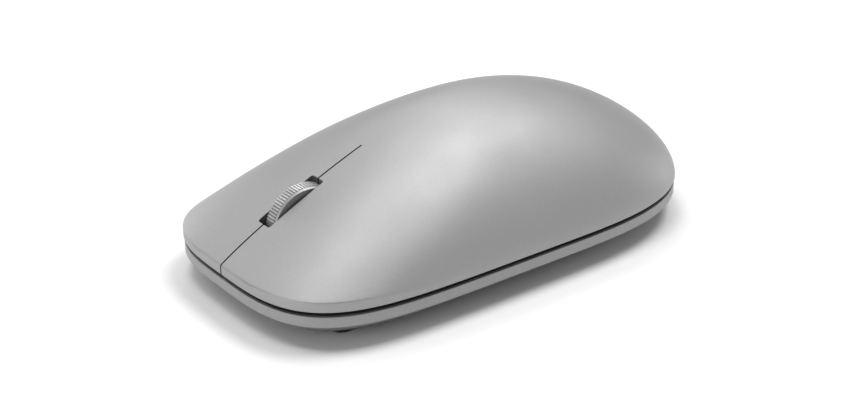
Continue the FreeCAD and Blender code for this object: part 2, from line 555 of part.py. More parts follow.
def wheel_hub():
    """Plastic hub with flange, round journals and a hexagonal drive end."""
    half = WHEEL_WIDTH / 2
    disc_r = WHEEL_R - TYRE_WALL - HUB_FIT
    disc = wheel_rod(disc_r, half - HUB_RECESS)
    groove = wheel_rod(disc_r - HUB_RIM, half).cut(wheel_rod(HUB_BOSS_R, half))
    web = wheel_rod(disc_r - HUB_RIM / 2, WEB_THICK / 2)
    journal = wheel_rod(AXLE_R, ARM_OUTER + JOURNAL_OUT)
    shoulder = wheel_rod(SHOULDER_R, half + SHOULDER_OUT)
    drive = hexagon(HEX_R, -(ARM_OUTER + DRIVE_START), -ENCODER_THICK)
    return joined(disc.cut(groove), web, journal, shoulder, drive)


def encoder_x():
    """Side of the encoder that faces the cradle arm."""
    return -(ARM_OUTER + TOUCH)


def encoder_body():
    """Rotary encoder case carried on the cradle's right arm."""
    near = encoder_x()
    case = box(near - ENCODER_THICK, near, WHEEL_Y - ENCODER_WIDE / 2, WHEEL_Y + ENCODER_WIDE / 2,
               WHEEL_Z - ENCODER_DOWN, WHEEL_Z + ENCODER_UP)
    pocket_x = near - ENCODER_WALL - ROTOR_THICK - DRUM_FIT
    pocket = rod(ROTOR_R + DRUM_FIT, Vector(pocket_x, WHEEL_Y, WHEEL_Z), ROTOR_THICK + 2 * DRUM_FIT, ACROSS)
    shaft_way = rod(HEX_R + SHAFT_FIT, Vector(near - ENCODER_THICK - OVER, WHEEL_Y, WHEEL_Z),
                    ENCODER_THICK + 2 * OVER, ACROSS)
    return case.cut(pocket).cut(shaft_way)


def encoder_rotor():
    """Encoder drum with a hexagonal hole, driven by the hub."""
    near = encoder_x() - ENCODER_WALL - ROTOR_THICK
    drum = rod(ROTOR_R, Vector(near, WHEEL_Y, WHEEL_Z), ROTOR_THICK, ACROSS)
    return drum.cut(hexagon(HEX_R + HEX_FIT, near - OVER, ROTOR_THICK + 2 * OVER))


def wheel_cradle():
    """Rocking cradle: two arms, pivot stubs at the front, and a tongue over the middle switch."""
    rear_y = BAY_REAR_Y - ARM_REAR_GAP
    nose_y, low_z, top_z = PIVOT_Y - ARM_NOSE, TONGUE_Z - TONGUE_SAG, TONGUE_Z + TONGUE_THICK
    outline = [(nose_y, PIVOT_Z - NOSE_DOWN), (nose_y, PIVOT_Z + NOSE_UP),
               (WHEEL_Y - ARM_CREST, WHEEL_Z + ARM_TOP), (WHEEL_Y + ARM_CREST, WHEEL_Z + ARM_TOP),
               (rear_y, top_z), (rear_y, low_z), (WHEEL_Y, PIVOT_Z - ARM_BELLY)]
    arms = []
    for side in (-1, 1):
        x0, x1 = sorted((side * (ARM_OUTER - ARM_THICK), side * ARM_OUTER))
        corners = [Vector(x0, y, z) for y, z in outline]
        arm = Part.Face(Part.makePolygon(corners + corners[:1])).extrude(Vector(x1 - x0, 0, 0))
        arms.append(arm.cut(wheel_rod(AXLE_R + RUNNING, ARM_OUTER + OVER)))
    bridge = box(-ARM_OUTER, ARM_OUTER, rear_y - BRIDGE_LONG, rear_y, low_z, top_z)
    front_bar = box(-ARM_OUTER, ARM_OUTER, nose_y, nose_y + NOSE_BAR, PIVOT_Z - NOSE_DOWN, PIVOT_Z + NOSE_UP)
    tongue = box(-TONGUE_WIDTH / 2, TONGUE_WIDTH / 2, rear_y - TONGUE_LAP, TONGUE_Y + TONGUE_OUT, TONGUE_Z, top_z)
    pins = [rod(PIVOT_R, Vector(side * (ARM_OUTER - PIN_LAP), PIVOT_Y, PIVOT_Z),
                POST_GAP + POST_THICK + PIN_LAP, ACROSS * side) for side in (-1, 1)]
    return joined(*arms, bridge, front_bar, tongue, *pins)


def wheel_spring():
    """Coil spring that lifts the cradle."""
    long = TONGUE_Z - TONGUE_SAG - FLOOR_TOP_Z - 2 * TOUCH
    return coil(SPRING_COIL_R, SPRING_WIRE_R, SPRING_TURNS, long, Vector(0, SPRING_Y, FLOOR_TOP_Z + TOUCH))


# ---------------------------------------------------------------- power
def tray_box(grow, z0, z1):
    """Block with the plan of the cell bay, grown all round."""
    half = CELL_X + CELL_R + TRAY_FIT + grow
    rear = TRAY_FRONT_Y + TRAY_WALL + cell_bay() + grow
    return box(-half, half, TRAY_FRONT_Y + TRAY_WALL - grow, rear, z0, z1)


def cell_bay():
    """Length between the tray's end walls."""
    return CELL_LONG + CONTACT_SPRING_LONG + 2 * CONTACT_THICK + 2 * TOUCH


def battery_tray():
    """Open-bottomed bay for two cells, trimmed to the housing."""
    top = CELL_Z + CELL_R + TRAY_FIT
    outer = tray_box(TRAY_WALL, FLOOR_TOP_Z + TOUCH, top + TRAY_WALL)
    tray = outer.cut(tray_box(0.0, 0, top))
    saddle = box(-SADDLE_HALF, SADDLE_HALF, TRAY_FRONT_Y + SADDLE_FRONT, TRAY_FRONT_Y + SADDLE_REAR,
                 CELL_Z + SADDLE_UP, top + TRAY_WALL / 2)
    tray = tray.fuse(saddle)
    return tray.common(base_cavity(TRAY_FLOOR_GAP)).common(crown_solid(TOP_WALL + TRAY_SKIN_GAP, 0))


def cell(side):
    """AAA cell; the left one points forward and the right one to the rear."""
    front = TRAY_FRONT_Y + TRAY_WALL + TOUCH
    body_long = CELL_LONG - NUB_LONG
    x = side * CELL_X
    if side > 0:
        start = front + CONTACT_THICK + NUB_LONG
        nub_y = start - NUB_LONG
    else:
        start = front + CONTACT_THICK + CONTACT_SPRING_LONG
        nub_y = start + body_long
    body = rod(CELL_R, Vector(x, start, CELL_Z), body_long, ALONG)
    rims = [e for e in body.Edges if e.Curve.TypeId == "Part::GeomCircle"]
    body = body.makeFillet(CELL_EDGE, rims)
    return joined(body, rod(NUB_R, Vector(x, nub_y, CELL_Z), NUB_LONG, ALONG))


def contact_plate(side, rear):
    """Sheet contact against an end wall; side 0 is the wide one that bridges both cells."""
    y = TRAY_FRONT_Y + TRAY_WALL + TOUCH / 2
    if rear:
        y = TRAY_FRONT_Y + TRAY_WALL + cell_bay() - CONTACT_THICK - TOUCH / 2
    centres = (-CELL_X, CELL_X) if side == 0 else (side * CELL_X, side * CELL_X)
    return box(centres[0] - CONTACT_HALF, centres[1] + CONTACT_HALF, y, y + CONTACT_THICK,
               CELL_Z - CONTACT_HALF, CELL_Z + CONTACT_HALF)


def contact_spring(side, rear):
    """Coil that presses on a cell's flat end."""
    y = TRAY_FRONT_Y + TRAY_WALL + TOUCH + CONTACT_THICK
    long = CONTACT_SPRING_LONG - 2 * TOUCH
    start = Vector(side * CELL_X, y + TOUCH / 2, CELL_Z)
    if rear:
        start.y = TRAY_FRONT_Y + TRAY_WALL + cell_bay() - CONTACT_THICK - TOUCH - long
    return coil(CONTACT_COIL_R, CONTACT_WIRE_R, CONTACT_TURNS, long, start, ALONG)


def battery_door():
    """Door flush with the floor: hinge knuckles in front, stiffening ribs and a finger notch behind."""
    plate = door_plate(DOOR_GAP, 0, FOOT_STANDOFF + DOOR_THICK).common(base_outer())
    half = DOOR_HALF - DOOR_GAP
    knuckle = rod(KNUCKLE_R, Vector(-half, HINGE_Y, HINGE_Z), 2 * half, ACROSS)
    reach_out = half + HINGE_PIN_LONG
    pins = rod(HINGE_PIN_R, Vector(-reach_out, HINGE_Y, HINGE_Z), 2 * reach_out, ACROSS)
    lead = box(-FAR, FAR, -FAR, HINGE_Y, -OVER, FAR)
    rib = box(-DOOR_RIB_HALF, DOOR_RIB_HALF, DOOR_FRONT_Y + DOOR_RIB_FRONT, DOOR_REAR_Y - DOOR_RIB_REAR,
              FOOT_STANDOFF + DOOR_THICK - ROOT, FLOOR_TOP_Z + DOOR_RIB_RISE)
    notch = rod(NOTCH_R, Vector(0, DOOR_REAR_Y - NOTCH_IN, 0), FOOT_STANDOFF + NOTCH_DEPTH)
    return joined(plate.cut(lead), knuckle, rib).cut(notch).fuse(pins)


# ---------------------------------------------------------------- underside controls
def power_slider():
    """Sliding knob in the floor with a retaining flange inside."""
    y = CONTROL_Y - SLIDER_TRAVEL / 2
    half, deep = SLIDER_WIDE / 2, SLIDER_LONG / 2
    flange_z = FLOOR_TOP_Z + TOUCH
    low = FOOT_STANDOFF + SLIDER_SINK
    knob = box(CONTROL_X - half, CONTROL_X + half, y - deep, y + deep, low, flange_z + SLIDER_FLANGE / 2)
    for i in range(GRIPS):
        at = y + GRIP_STEP * (i - (GRIPS - 1) / 2)
        knob = knob.cut(box(0, FAR, at - GRIP_WIDE / 2, at + GRIP_WIDE / 2, 0, low + GRIP_DEPTH))
    flange = box(CONTROL_X - half - FLANGE_SIDE, CONTROL_X + half + FLANGE_SIDE, y - deep - FLANGE_END,
                 y + deep + FLANGE_END, flange_z, flange_z + SLIDER_FLANGE)
    return joined(knob, flange).cut(lever_block(RUNNING, FLOOR_TOP_Z, FAR))


def lever_block(grow, z0, z1, travel=0.0):
    """Space of the slide switch's lever at its front stop, or over a travel to the rear."""
    y = CONTROL_Y - SLIDER_TRAVEL / 2
    half = LEVER / 2 + grow
    return box(CONTROL_X - half, CONTROL_X + half, y - half, y + half + travel, z0, z1)


def power_switch():
    """Slide switch under the board, with the slot that its lever runs in."""
    case = box(CONTROL_X - SLIDE_CASE_HALF, CONTROL_X + SLIDE_CASE_HALF, CONTROL_Y - SLIDE_CASE_LONG / 2,
               CONTROL_Y + SLIDE_CASE_LONG / 2, BOARD_Z - SLIDE_CASE_TALL, BOARD_Z)
    return case.cut(lever_block(LEVER_ROOM, 0, BOARD_Z - LEVER_IN + LEVER_ROOM, SLIDER_TRAVEL))


def power_lever():
    """Lever of the slide switch, held in the knob's pocket."""
    return lever_block(0.0, FLOOR_TOP_Z + 2 * TOUCH, BOARD_Z - LEVER_IN)


def pair_button():
    """Round push button in the floor with a retaining flange."""
    low = FOOT_STANDOFF + PAIR_SINK
    flange_z = FLOOR_TOP_Z + TOUCH
    cap = rod(PAIR_R, Vector(-CONTROL_X, CONTROL_Y, low), flange_z + PAIR_FLANGE_THICK / 2 - low)
    flange = rod(PAIR_R + PAIR_FLANGE, Vector(-CONTROL_X, CONTROL_Y, flange_z), PAIR_FLANGE_THICK)
    return joined(cap, flange)


def pair_switch():
    """Flat dome switch under the board."""
    return rod(DOME_R, Vector(-CONTROL_X, CONTROL_Y, BOARD_Z - DOME_TALL), DOME_TALL)


def status_light():
    """Clear pipe that carries the indicator's light through the floor."""
    collar_z = FLOOR_TOP_Z + TOUCH
    pipe = rod(STATUS_R, Vector(-CONTROL_X, STATUS_Y, FOOT_STANDOFF), collar_z - FOOT_STANDOFF)
    collar = rod(STATUS_R + STATUS_COLLAR, Vector(-CONTROL_X, STATUS_Y, collar_z), STATUS_COLLAR_TALL)
    return joined(pipe, collar)


# ---------------------------------------------------------------- fasteners and feet
def screws():
    """Four pan-head screws with crossed recesses, up through the floor."""
    made = []
    for x, y in foot_places().values():
        head_z = RECESS_TOP_Z + TOUCH
        head = rod(SCREW_HEAD_R, Vector(x, y, head_z), SCREW_HEAD)
        long, wide = RECESS_HALF_LONG, RECESS_HALF_WIDE
        cross = box(x - long, x + long, y - wide, y + wide, 0, head_z + RECESS_DEPTH).fuse(
            box(x - wide, x + wide, y - long, y + long, 0, head_z + RECESS_DEPTH))
        tip = BOARD_TOP_Z + SHANK_FRONT if y < 0 else SHELF_Z + RING_LUG + SHANK_REAR
        shank = rod(PILOT_R - SHANK_FIT, Vector(x, y, head_z + SCREW_HEAD), tip - head_z - SCREW_HEAD)
        made.append(joined(head.cut(cross), shank))
    return Part.makeCompound(made)


def foot(x, y):
    """Low-friction pad in its recess."""
    pad = stadium(x, y, FOOT_LONG, FOOT_WIDE, 0, RECESS_TOP_Z - TOUCH)
    lower = [e for e in pad.Edges if e.BoundBox.ZMax < 1e-6]
    return pad.makeFillet(FOOT_EDGE, lower)


def main():
    os.makedirs("parts", exist_ok=True)
    left, right, palm = top_pieces()
    nodes = {
        "base_shell": base_shell(), "palm_cover": palm, "left_button": left, "right_button": right,
        "chassis_ring": chassis_ring(), "circuit_board": circuit_board(), "board_chips": chips(),
        "left_switch_case": snap_switch(1), "right_switch_case": snap_switch(-1),
        "left_switch_plunger": snap_plunger(1), "right_switch_plunger": snap_plunger(-1),
        "middle_switch_case": middle_switch(), "middle_switch_plunger": middle_plunger(),
        "sensor_chip": sensor_chip(), "sensor_lens": sensor_lens(), "sensor_led": sensor_led(),
        "wheel_tyre": wheel_tyre(), "wheel_hub": wheel_hub(), "wheel_cradle": wheel_cradle(),
        "wheel_spring": wheel_spring(), "encoder_body": encoder_body(), "encoder_rotor": encoder_rotor(),
        "battery_tray": battery_tray(), "battery_left": cell(1), "battery_right": cell(-1),
        "contact_plate_front": contact_plate(1, False), "contact_pad_front": contact_plate(-1, False),
        "contact_bridge_rear": contact_plate(0, True), "contact_spring_front": contact_spring(-1, False),
        "contact_spring_rear": contact_spring(1, True), "battery_door": battery_door(),
        "power_slider": power_slider(), "power_switch": power_switch(), "power_lever": power_lever(),
        "pair_button": pair_button(), "pair_switch": pair_switch(), "status_light": status_light(),
        "housing_screws": screws(),
    }
    for name, (x, y) in foot_places().items():
        nodes[name] = foot(x, y)
    for name, shape in nodes.items():
        shape.exportStep(f"parts/{name}.step")
        print(name, len(shape.Solids), round(shape.Volume, 2), shape.isValid())


main()
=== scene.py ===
"""Looks of a low wireless mouse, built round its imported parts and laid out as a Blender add-on."""
import json
import math

import bmesh
import bpy
import numpy as np
from bpy.props import FloatProperty, FloatVectorProperty, IntProperty, PointerProperty, StringProperty
from mathutils import Matrix, Vector


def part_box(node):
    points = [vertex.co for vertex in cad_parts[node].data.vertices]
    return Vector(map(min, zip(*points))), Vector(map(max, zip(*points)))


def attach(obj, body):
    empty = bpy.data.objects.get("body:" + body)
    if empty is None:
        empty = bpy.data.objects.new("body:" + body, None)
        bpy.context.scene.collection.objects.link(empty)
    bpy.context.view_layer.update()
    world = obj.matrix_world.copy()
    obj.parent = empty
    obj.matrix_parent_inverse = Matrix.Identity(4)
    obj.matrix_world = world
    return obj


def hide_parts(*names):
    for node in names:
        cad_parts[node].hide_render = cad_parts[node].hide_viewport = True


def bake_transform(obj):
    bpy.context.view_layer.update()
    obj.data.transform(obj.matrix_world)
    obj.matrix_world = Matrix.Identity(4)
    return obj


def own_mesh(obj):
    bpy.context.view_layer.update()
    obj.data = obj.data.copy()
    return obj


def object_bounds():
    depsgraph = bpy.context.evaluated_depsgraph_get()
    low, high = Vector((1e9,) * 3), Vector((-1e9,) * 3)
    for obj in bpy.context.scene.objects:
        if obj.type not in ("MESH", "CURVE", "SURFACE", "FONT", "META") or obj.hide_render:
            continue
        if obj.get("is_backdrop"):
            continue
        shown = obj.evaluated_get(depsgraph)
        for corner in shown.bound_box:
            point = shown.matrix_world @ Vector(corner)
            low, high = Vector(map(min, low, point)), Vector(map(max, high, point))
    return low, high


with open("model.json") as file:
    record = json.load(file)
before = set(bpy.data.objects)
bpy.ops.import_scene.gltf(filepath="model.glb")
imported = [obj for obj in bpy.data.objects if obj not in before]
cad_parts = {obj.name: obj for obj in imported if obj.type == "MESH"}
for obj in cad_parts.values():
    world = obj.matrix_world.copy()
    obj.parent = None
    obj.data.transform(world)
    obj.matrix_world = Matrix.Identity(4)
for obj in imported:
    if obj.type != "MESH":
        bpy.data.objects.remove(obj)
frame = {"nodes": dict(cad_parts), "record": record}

bl_info = {
    "name": "Low Wireless Mouse",
    "version": (1, 0, 0),
    "blender": (4, 5, 0),
    "location": "3D Viewport > Sidebar > Mouse",
    "description": "Builds the skins, finishes and stage of a low wireless mouse round its packed parts",
    "category": "Object",
}

MM = 0.001
CAD_LOW, CAD_HIGH = (Vector(corner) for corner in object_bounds())
TAB = "Mouse"
BARE_OR_SHADE = "bare_or_shade"  # face attribute that is 1 where the second colour goes: the cells' uncoated metal ends, and painted shade on the shell's inside and cut walls, the base's undercut and floor, the battery door, and the wheel's sides and tread grooves
FEET = ("foot_front_left", "foot_front_right", "foot_rear_left", "foot_rear_right")
PAIR_FLANGE, STATUS_COLLAR = 0.7 * MM, 0.5 * MM
TYRE_LOW, TYRE_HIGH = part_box("wheel_tyre")
TINY, ON_LINE = 1e-9, 1e-8

# Shell grid: spacing, and extra lines at these distances (mm) or shares of a radius from an edge.
GRID, SLIT_GRID = 0.75 * MM, 0.45 * MM
EDGE_SHARES = (0.06, 0.22, 0.5, 0.8, 1.15)
CORNER_SHARES = (0.25, 0.55, 1.0)
RIM_LINES = (0.03, 0.09, 0.18, 0.3, 0.45, 0.7, 1.1, 1.7, 2.5)
PALM_LINES = (0.05, 0.12, 0.2, 0.32, 0.5, 0.8, 1.2)
SLIT_LINES = (0.2, 0.35, 0.5)
PALM_ANGLES = 300
PALM_TURNS = np.concatenate([np.linspace(0.03, 0.90, 46), np.linspace(0.915, 1.0, 12)])
STRAIGHT_BAND = 2 * MM  # grid lines stay straight this far beside the slot
LOOSENING = 12 * MM  # and follow the outline fully this much further out

# Wall between the skins: rows down the skirt, round the rim and across its foot.
SKIRT_SHARES = (0.34, 0.67)
ROUND_STEPS = 5
FOOT_SHARE = 0.8
WALL_ROWS = len(SKIRT_SHARES) + ROUND_STEPS + 1
INNER_RIM_SINK = 0.6
NUDGE, TOP_TURN = 2e-4, 0.02

BASE_POINTS = 361
UNDERCUT_SHARES = np.linspace(0.06, 1.0, 12)[1:]
OVERCUT = 0.2 * MM
MERGE, FLAT_DEGREES, EDGE_SEGMENTS = 2e-6, 1.5, 2
LATHE_COUNT, LATHE_DEGREES = 160, 25
WEAR_PATCH, WEAR_SHARE = 9.0, 0.05
GRAIN_NOISE, PATCH_NOISE = {"Detail": 2.0, "Roughness": 0.55}, {"Detail": 3.0}
FLOOR_SIZE, SENSOR_MM = 6.0, 36.0


def size(name, description, default):
    """Length property in metres."""
    return FloatProperty(name=name, description=description, default=default, unit="LENGTH", precision=5)


def ratio(name, description, default):
    """Plain number property."""
    return FloatProperty(name=name, description=description, default=default, precision=3)


def colour(name, description, default):
    """Colour kept as an sRGB hex word."""
    return StringProperty(name=name, description=description, default=default)


# ---------------------------------------------------------------- properties
class MouseShellSizes(bpy.types.PropertyGroup):
    """Domed top shell: its plan outline, crown, slit and wheel slot."""

    length: size("Length", "Overall length", CAD_HIGH.y - CAD_LOW.y)
    width: size("Width", "Overall width", CAD_HIGH.x - CAD_LOW.x)
    height: size("Height", "Height of the crown above the desk", CAD_HIGH.z)
    rim_z: size("Rim height", "Height of the shell's lower rim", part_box("left_button")[0].z)
    widest_y: size("Widest station", "Where the plan is widest", 4.7 * MM)
    front_power_y: ratio("Front power, lengthwise", "Squareness of the front end of the plan", 5.5)
    front_power_x: ratio("Front power, crosswise", "Squareness of the front sides of the plan", 3.3)
    rear_power_y: ratio("Rear power, lengthwise", "Squareness of the rear end of the plan", 3.4)
    rear_power_x: ratio("Rear power, crosswise", "Squareness of the rear sides of the plan", 2.05)
    corner_share: ratio("Front corner", "Where front turns into side, as a share of the half width", 0.76)
    front_skirt: size("Front skirt", "Upright wall under the front crease", 2.0 * MM)
    side_skirt: size("Side skirt", "Upright wall along the sides and rear", 0.5 * MM)
    sharp_y: size("Crease starts to fade", "Station where the front crease begins to soften", -40.1 * MM)
    soft_y: size("Crease is gone", "Station where the crease has softened away", -18.9 * MM)
    front_shoulder: ratio("Front shoulder", "Roundness above the front rim", 1.10)
    side_shoulder: ratio("Side shoulder", "Roundness above the side rim", 1.56)
    rear_shoulder: ratio("Rear shoulder", "Roundness above the rear rim", 1.64)
    front_slope: ratio("Front slope", "How straight the crown falls to the front", 2.17)
    side_slope: ratio("Side slope", "How straight the crown falls to the sides", 1.55)
    rear_slope: ratio("Rear slope", "How straight the crown falls to the rear", 0.78)
    blend_power: ratio("Blend", "How close to the rim the crown takes up the rim's own changes", 3.0)
    wall: size("Wall", "Thickness of the shell", 1.8 * MM)
    slit: size("Slit", "Width of the slit between the buttons", 0.4 * MM)
    slit_end_y: size("Slit end", "Rear end of the slit, where the buttons flex", -20.7 * MM)
    slot_front_y: size("Slot front", "Front end of the wheel slot", -43.8 * MM)
    slot_rear_y: size("Slot rear", "Rear end of the wheel slot", -31.05 * MM)
    slot_width: size("Slot width", "Width of the wheel slot", 4.0 * MM)
    slot_corner: size("Slot corner", "Corner radius of the wheel slot", 0.5 * MM)
    slit_edge: size("Slit edge radius", "Rounding along the slit and the slot", 0.08 * MM)
    crease_edge: size("Crease radius", "Rounding of the front crease", 0.2 * MM)
    rim_edge: size("Rim radius", "Rounding of the lower rim", 0.2 * MM)
    flex_length: size("Flexing length", "Length over which a button bends", 5.0 * MM)


class MouseBaseSizes(bpy.types.PropertyGroup):
    """Base: upright band, undercut and flat floor."""

    rim_z: size("Rim height", "Height of the base's upper rim", 7.05 * MM)
    band_z: size("Band foot", "Height where the band turns into the undercut", 4.9 * MM)
    floor_z: size("Floor height", "Height of the flat floor above the desk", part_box("base_shell")[0].z)
    inset: size("Inset", "How far the band stands inside the shell's outline", 0.15 * MM)
    undercut: size("Undercut", "Width of the sloping underside", 6.6 * MM)
    bulge: size("Undercut bulge", "How far the sloping underside bows out", 0.25 * MM)
    wall: size("Wall", "Thickness of the base's wall", 1.6 * MM)
    floor: size("Floor", "Thickness of the floor", 1.5 * MM)
    rim_edge: size("Rim radius", "Rounding of the upper rim", 0.15 * MM)
    lip: size("Lip", "Width of the rim outside the rebate that holds the dark ring", 0.65 * MM)
    rebate: size("Rebate", "Depth of that rebate", 0.8 * MM)
    crease: size("Crease radius", "Rounding between band and undercut", 0.2 * MM)
    mouth: size("Opening chamfer", "Chamfer round each opening in the floor", 0.15 * MM)
    gap: size("Gap", "Gap round the door, the feet and the controls", 0.1 * MM)
    door_half: size("Door opening half width", "Half width of the battery opening", 11.8 * MM)
    door_front_y: size("Door opening front", "Front end of the battery opening", -5.9 * MM)
    door_rear_y: size("Door opening rear", "Rear end of the battery opening", 43.2 * MM)
    door_corner: size("Door opening corner", "Corner radius at the rear of the battery opening", 5.0 * MM)
    aperture_y: size("Aperture station", "Where the sensor looks out", -14.0 * MM)
    aperture_r: size("Aperture radius", "Radius of the sensor opening", 3.2 * MM)
    aperture_flare: size("Aperture flare", "How much wider the opening is at the floor", 1.2 * MM)
    control_x: size("Control distance", "Distance of the two controls from the middle", 14.5 * MM)
    slot_long: size("Switch slot length", "Length of the power switch's slot", 5.9 * MM)
    slot_wide: size("Switch slot width", "Width of the power switch's slot", 2.8 * MM)
    dish_long: size("Dish length", "Length of the shallow dish round the switch", 7.1 * MM)
    dish_wide: size("Dish width", "Width of that dish", 4.2 * MM)
    dish_depth: size("Dish depth", "Depth of that dish", 0.5 * MM)
    recess: size("Foot recess", "Depth of the recess under each foot", 0.3 * MM)


class MouseWheelSizes(bpy.types.PropertyGroup):
    """Scroll wheel: ribbed tread between polished chamfers."""

    radius: size("Radius", "Outer radius over the ribs", (TYRE_HIGH.z - TYRE_LOW.z) / 2)
    width: size("Width", "Width of the wheel", TYRE_HIGH.x - TYRE_LOW.x)
    chamfer: size("Chamfer", "Polished chamfer either side of the tread", 0.3 * MM)
    wall: size("Tyre wall", "Radial thickness of the metal tyre", 1.5 * MM)
    rib_depth: size("Rib depth", "Height of the ribs", 0.16 * MM)
    rib_root: size("Rib root", "How deep the ribs are sunk into the tyre", 0.1 * MM)
    rib_share: ratio("Rib share", "Width of a rib as a share of the pitch", 0.5)
    spring_left: ratio("Spring at full click", "Share of the spring's height left at a full click", 0.93)
    ribs: IntProperty(name="Ribs", description="Number of cross ribs", default=84, min=12)


class MouseFinishes(bpy.types.PropertyGroup):
    """Colours of the finishes, as sRGB hex."""

    shell: colour("Shell", "Silver-pearl paint", "#a0a0a1")
    shell_flake: colour("Shell flake", "Brighter flakes in the paint", "#a9a9aa")
    base: colour("Base", "Silver-grey lacquer", "#9c9c9d")
    base_mottle: colour("Base mottle", "Second tone of the lacquer", "#989899")
    # painted shade: the underside grey stands for the shade on the base's undercut, and the floor takes it
    # too
    underside: colour("Underside", "Bare grey plastic of the undercut and the floor", "#6c6c6f")
    # this black also stands for painted shade on the shell's inside and on the walls of its slit and slot
    dark: colour("Dark plastic", "Black plastic", "#4a4b4e")
    metal: colour("Wheel metal", "Bright metal", "#e8e8e8")
    # painted shade: this darker grey stands for the shade and dim reflection on the tyre's sides and in the
    # grooves between its ribs; it is also the hub's own colour
    wheel_shade_and_hub: colour("Wheel side", "Dark sides of the wheel and grooves of its tread", "#808083")
    sleeve: colour("Cell sleeve", "Printed sleeve of a cell", "#3a4250")
    sleeve_tone: colour("Cell sleeve tone", "Second tone of the sleeve", "#343b48")
    foot: colour("Feet", "Dark low-friction sheet", "#2f3032")
    acetal: colour("Acetal", "Off-white moulded acetal", "#dcdcd6")
    clear: colour("Clear", "Clear polycarbonate", "#eef2f5")
    board: colour("Board", "Green solder mask", "#14502f")
    board_tone: colour("Board tone", "Second tone of the mask", "#0f4427")
    chip: colour("Chip", "Black epoxy packages", "#1a1a1c")
    nickel: colour("Nickel", "Plated wire and sheet", "#c4c2bc")
    zinc: colour("Zinc", "Plated screws", "#8d8f92")
    backdrop: colour("Floor", "Pale studio floor", "#f4f4f4")


class MouseCamera(bpy.types.PropertyGroup):
    """Where the main camera stands."""

    azimuth: ratio("Azimuth", "Degrees round from the front", 52.68)
    elevation: ratio("Elevation", "Degrees above the desk", 24.53)
    roll: ratio("Roll", "Degrees of camera roll", -0.5)
    distance: size("Distance", "From the aim point", 335.8 * MM)
    aim_z: size("Aim height", "Height of the aim point", 12.0 * MM)
    lens: ratio("Lens", "Focal length in millimetres on a 36 mm sensor", 68.3)
    shift_x: ratio("Shift across", "Camera shift across", -0.0189)
    shift_y: ratio("Shift up", "Camera shift up", -0.0265)


class MouseLights(bpy.types.PropertyGroup):
    """Strength of the soft boxes round the object."""

    strength: ratio("Strength", "Multiplies every soft box", 1.15)
    sky: ratio("Sky", "Strength of the even light from all round", 0.25)
    distance: size("Distance", "From the object to each soft box", 1.2)


# Soft boxes: name, degrees round from the front, degrees up, width in metres, share of the light.
SOFT_BOXES = (
    ("high_rear", 175, 66, 0.55, 1.35),
    ("overhead", -31, 80, 0.5, 0.80),
    ("far_side_low", -84, 9, 0.3, 0.45),
    ("front_low", 1, 9, 0.3, 0.34),
    ("far_front", -48, 52, 0.4, 0.30),
    ("far_rear", -120, 49, 0.5, 0.50),
    ("front", 3, 24, 0.35, 0.27),
    ("rear_low", 171, 9, 0.3, 0.27),
    ("near_side", 108, 22, 0.4, 0.15),
)


# ---------------------------------------------------------------- crown and outline
def smooth(value):
    """Smooth step from 0 to 1."""
    value = np.clip(value, 0.0, 1.0)
    return value * value * (3 - 2 * value)


def half_sizes(s, y_from_widest, gap):
    """Half width and half length, of the front or the rear half of the plan."""
    front = s.length / 2 + s.widest_y - gap
    rear = s.length / 2 - s.widest_y - gap
    return s.width / 2 - gap, np.where(y_from_widest < 0, front, rear)


def powers(s, y_from_widest, squareness):
    """Superellipse powers across and along the plan."""
    front = y_from_widest < 0
    across = np.where(front, s.front_power_x, s.rear_power_x)
    along = np.where(front, s.front_power_y, s.rear_power_y)
    return 2 + (across - 2) * squareness, 2 + (along - 2) * squareness


def bisect(inside, low, high, steps=44):
    """Largest value for which inside(value) holds, for arrays."""
    for _ in range(steps):
        middle = (low + high) / 2
        ok = inside(middle)
        low, high = np.where(ok, middle, low), np.where(ok, high, middle)
    return (low + high) / 2


def reach(s, angle, squareness, gap=0.0):
    """Distance from the crown's centre to the outline in a direction."""
    across, along = np.abs(np.cos(angle)), np.abs(np.sin(angle))
    half_x, half_y = half_sizes(s, np.sin(angle), gap)
    power_x, power_y = powers(s, np.sin(angle), squareness)
    zero = np.zeros_like(across)

    def inside(r):
        return (r * across / half_x) ** power_x + (r * along / half_y) ** power_y < 1

    return bisect(inside, zero, zero + s.length)


def share_at(s, x, y, gap=0.0):
    """Share of the way from the crown's top to its rim at a place in plan."""
    dy = y - s.widest_y
    half_x, half_y = half_sizes(s, dy, gap)

    def outside(share):
        power_x, power_y = powers(s, dy, share**2)
        safe = np.maximum(share, TINY)
        return (np.abs(x) / (half_x * safe)) ** power_x + (np.abs(dy) / (half_y * safe)) ** power_y > 1

    zero = np.zeros_like(x)
    return np.clip(bisect(outside, zero, zero + 1.05), 0, 1)


def box_distance(x, y, x0, x1, y0, y1, corner=0.0):
    """Signed distance in plan to a rounded rectangle."""
    half_x, half_y = (x1 - x0) / 2 - corner, (y1 - y0) / 2 - corner
    dx, dy = np.abs(x - (x0 + x1) / 2) - half_x, np.abs(y - (y0 + y1) / 2) - half_y
    return np.hypot(np.maximum(dx, 0), np.maximum(dy, 0)) + np.minimum(np.maximum(dx, dy), 0) - corner


def opening_distance(s, x, y):
    """Distance in plan to the slit and the wheel slot."""
    slit = box_distance(x, y, -s.slit / 2, s.slit / 2, -s.length, s.slit_end_y)
    half = s.slot_width / 2
    slot = box_distance(x, y, -half, half, s.slot_front_y, s.slot_rear_y, s.slot_corner)
    return np.minimum(slit, slot)


def edge_drop(distance, radius):
    """How far a quarter-round edge falls at a distance from the edge."""
    rest = radius - np.clip(distance, 0, radius)
    return radius - np.sqrt(np.maximum(radius**2 - rest**2, 0))


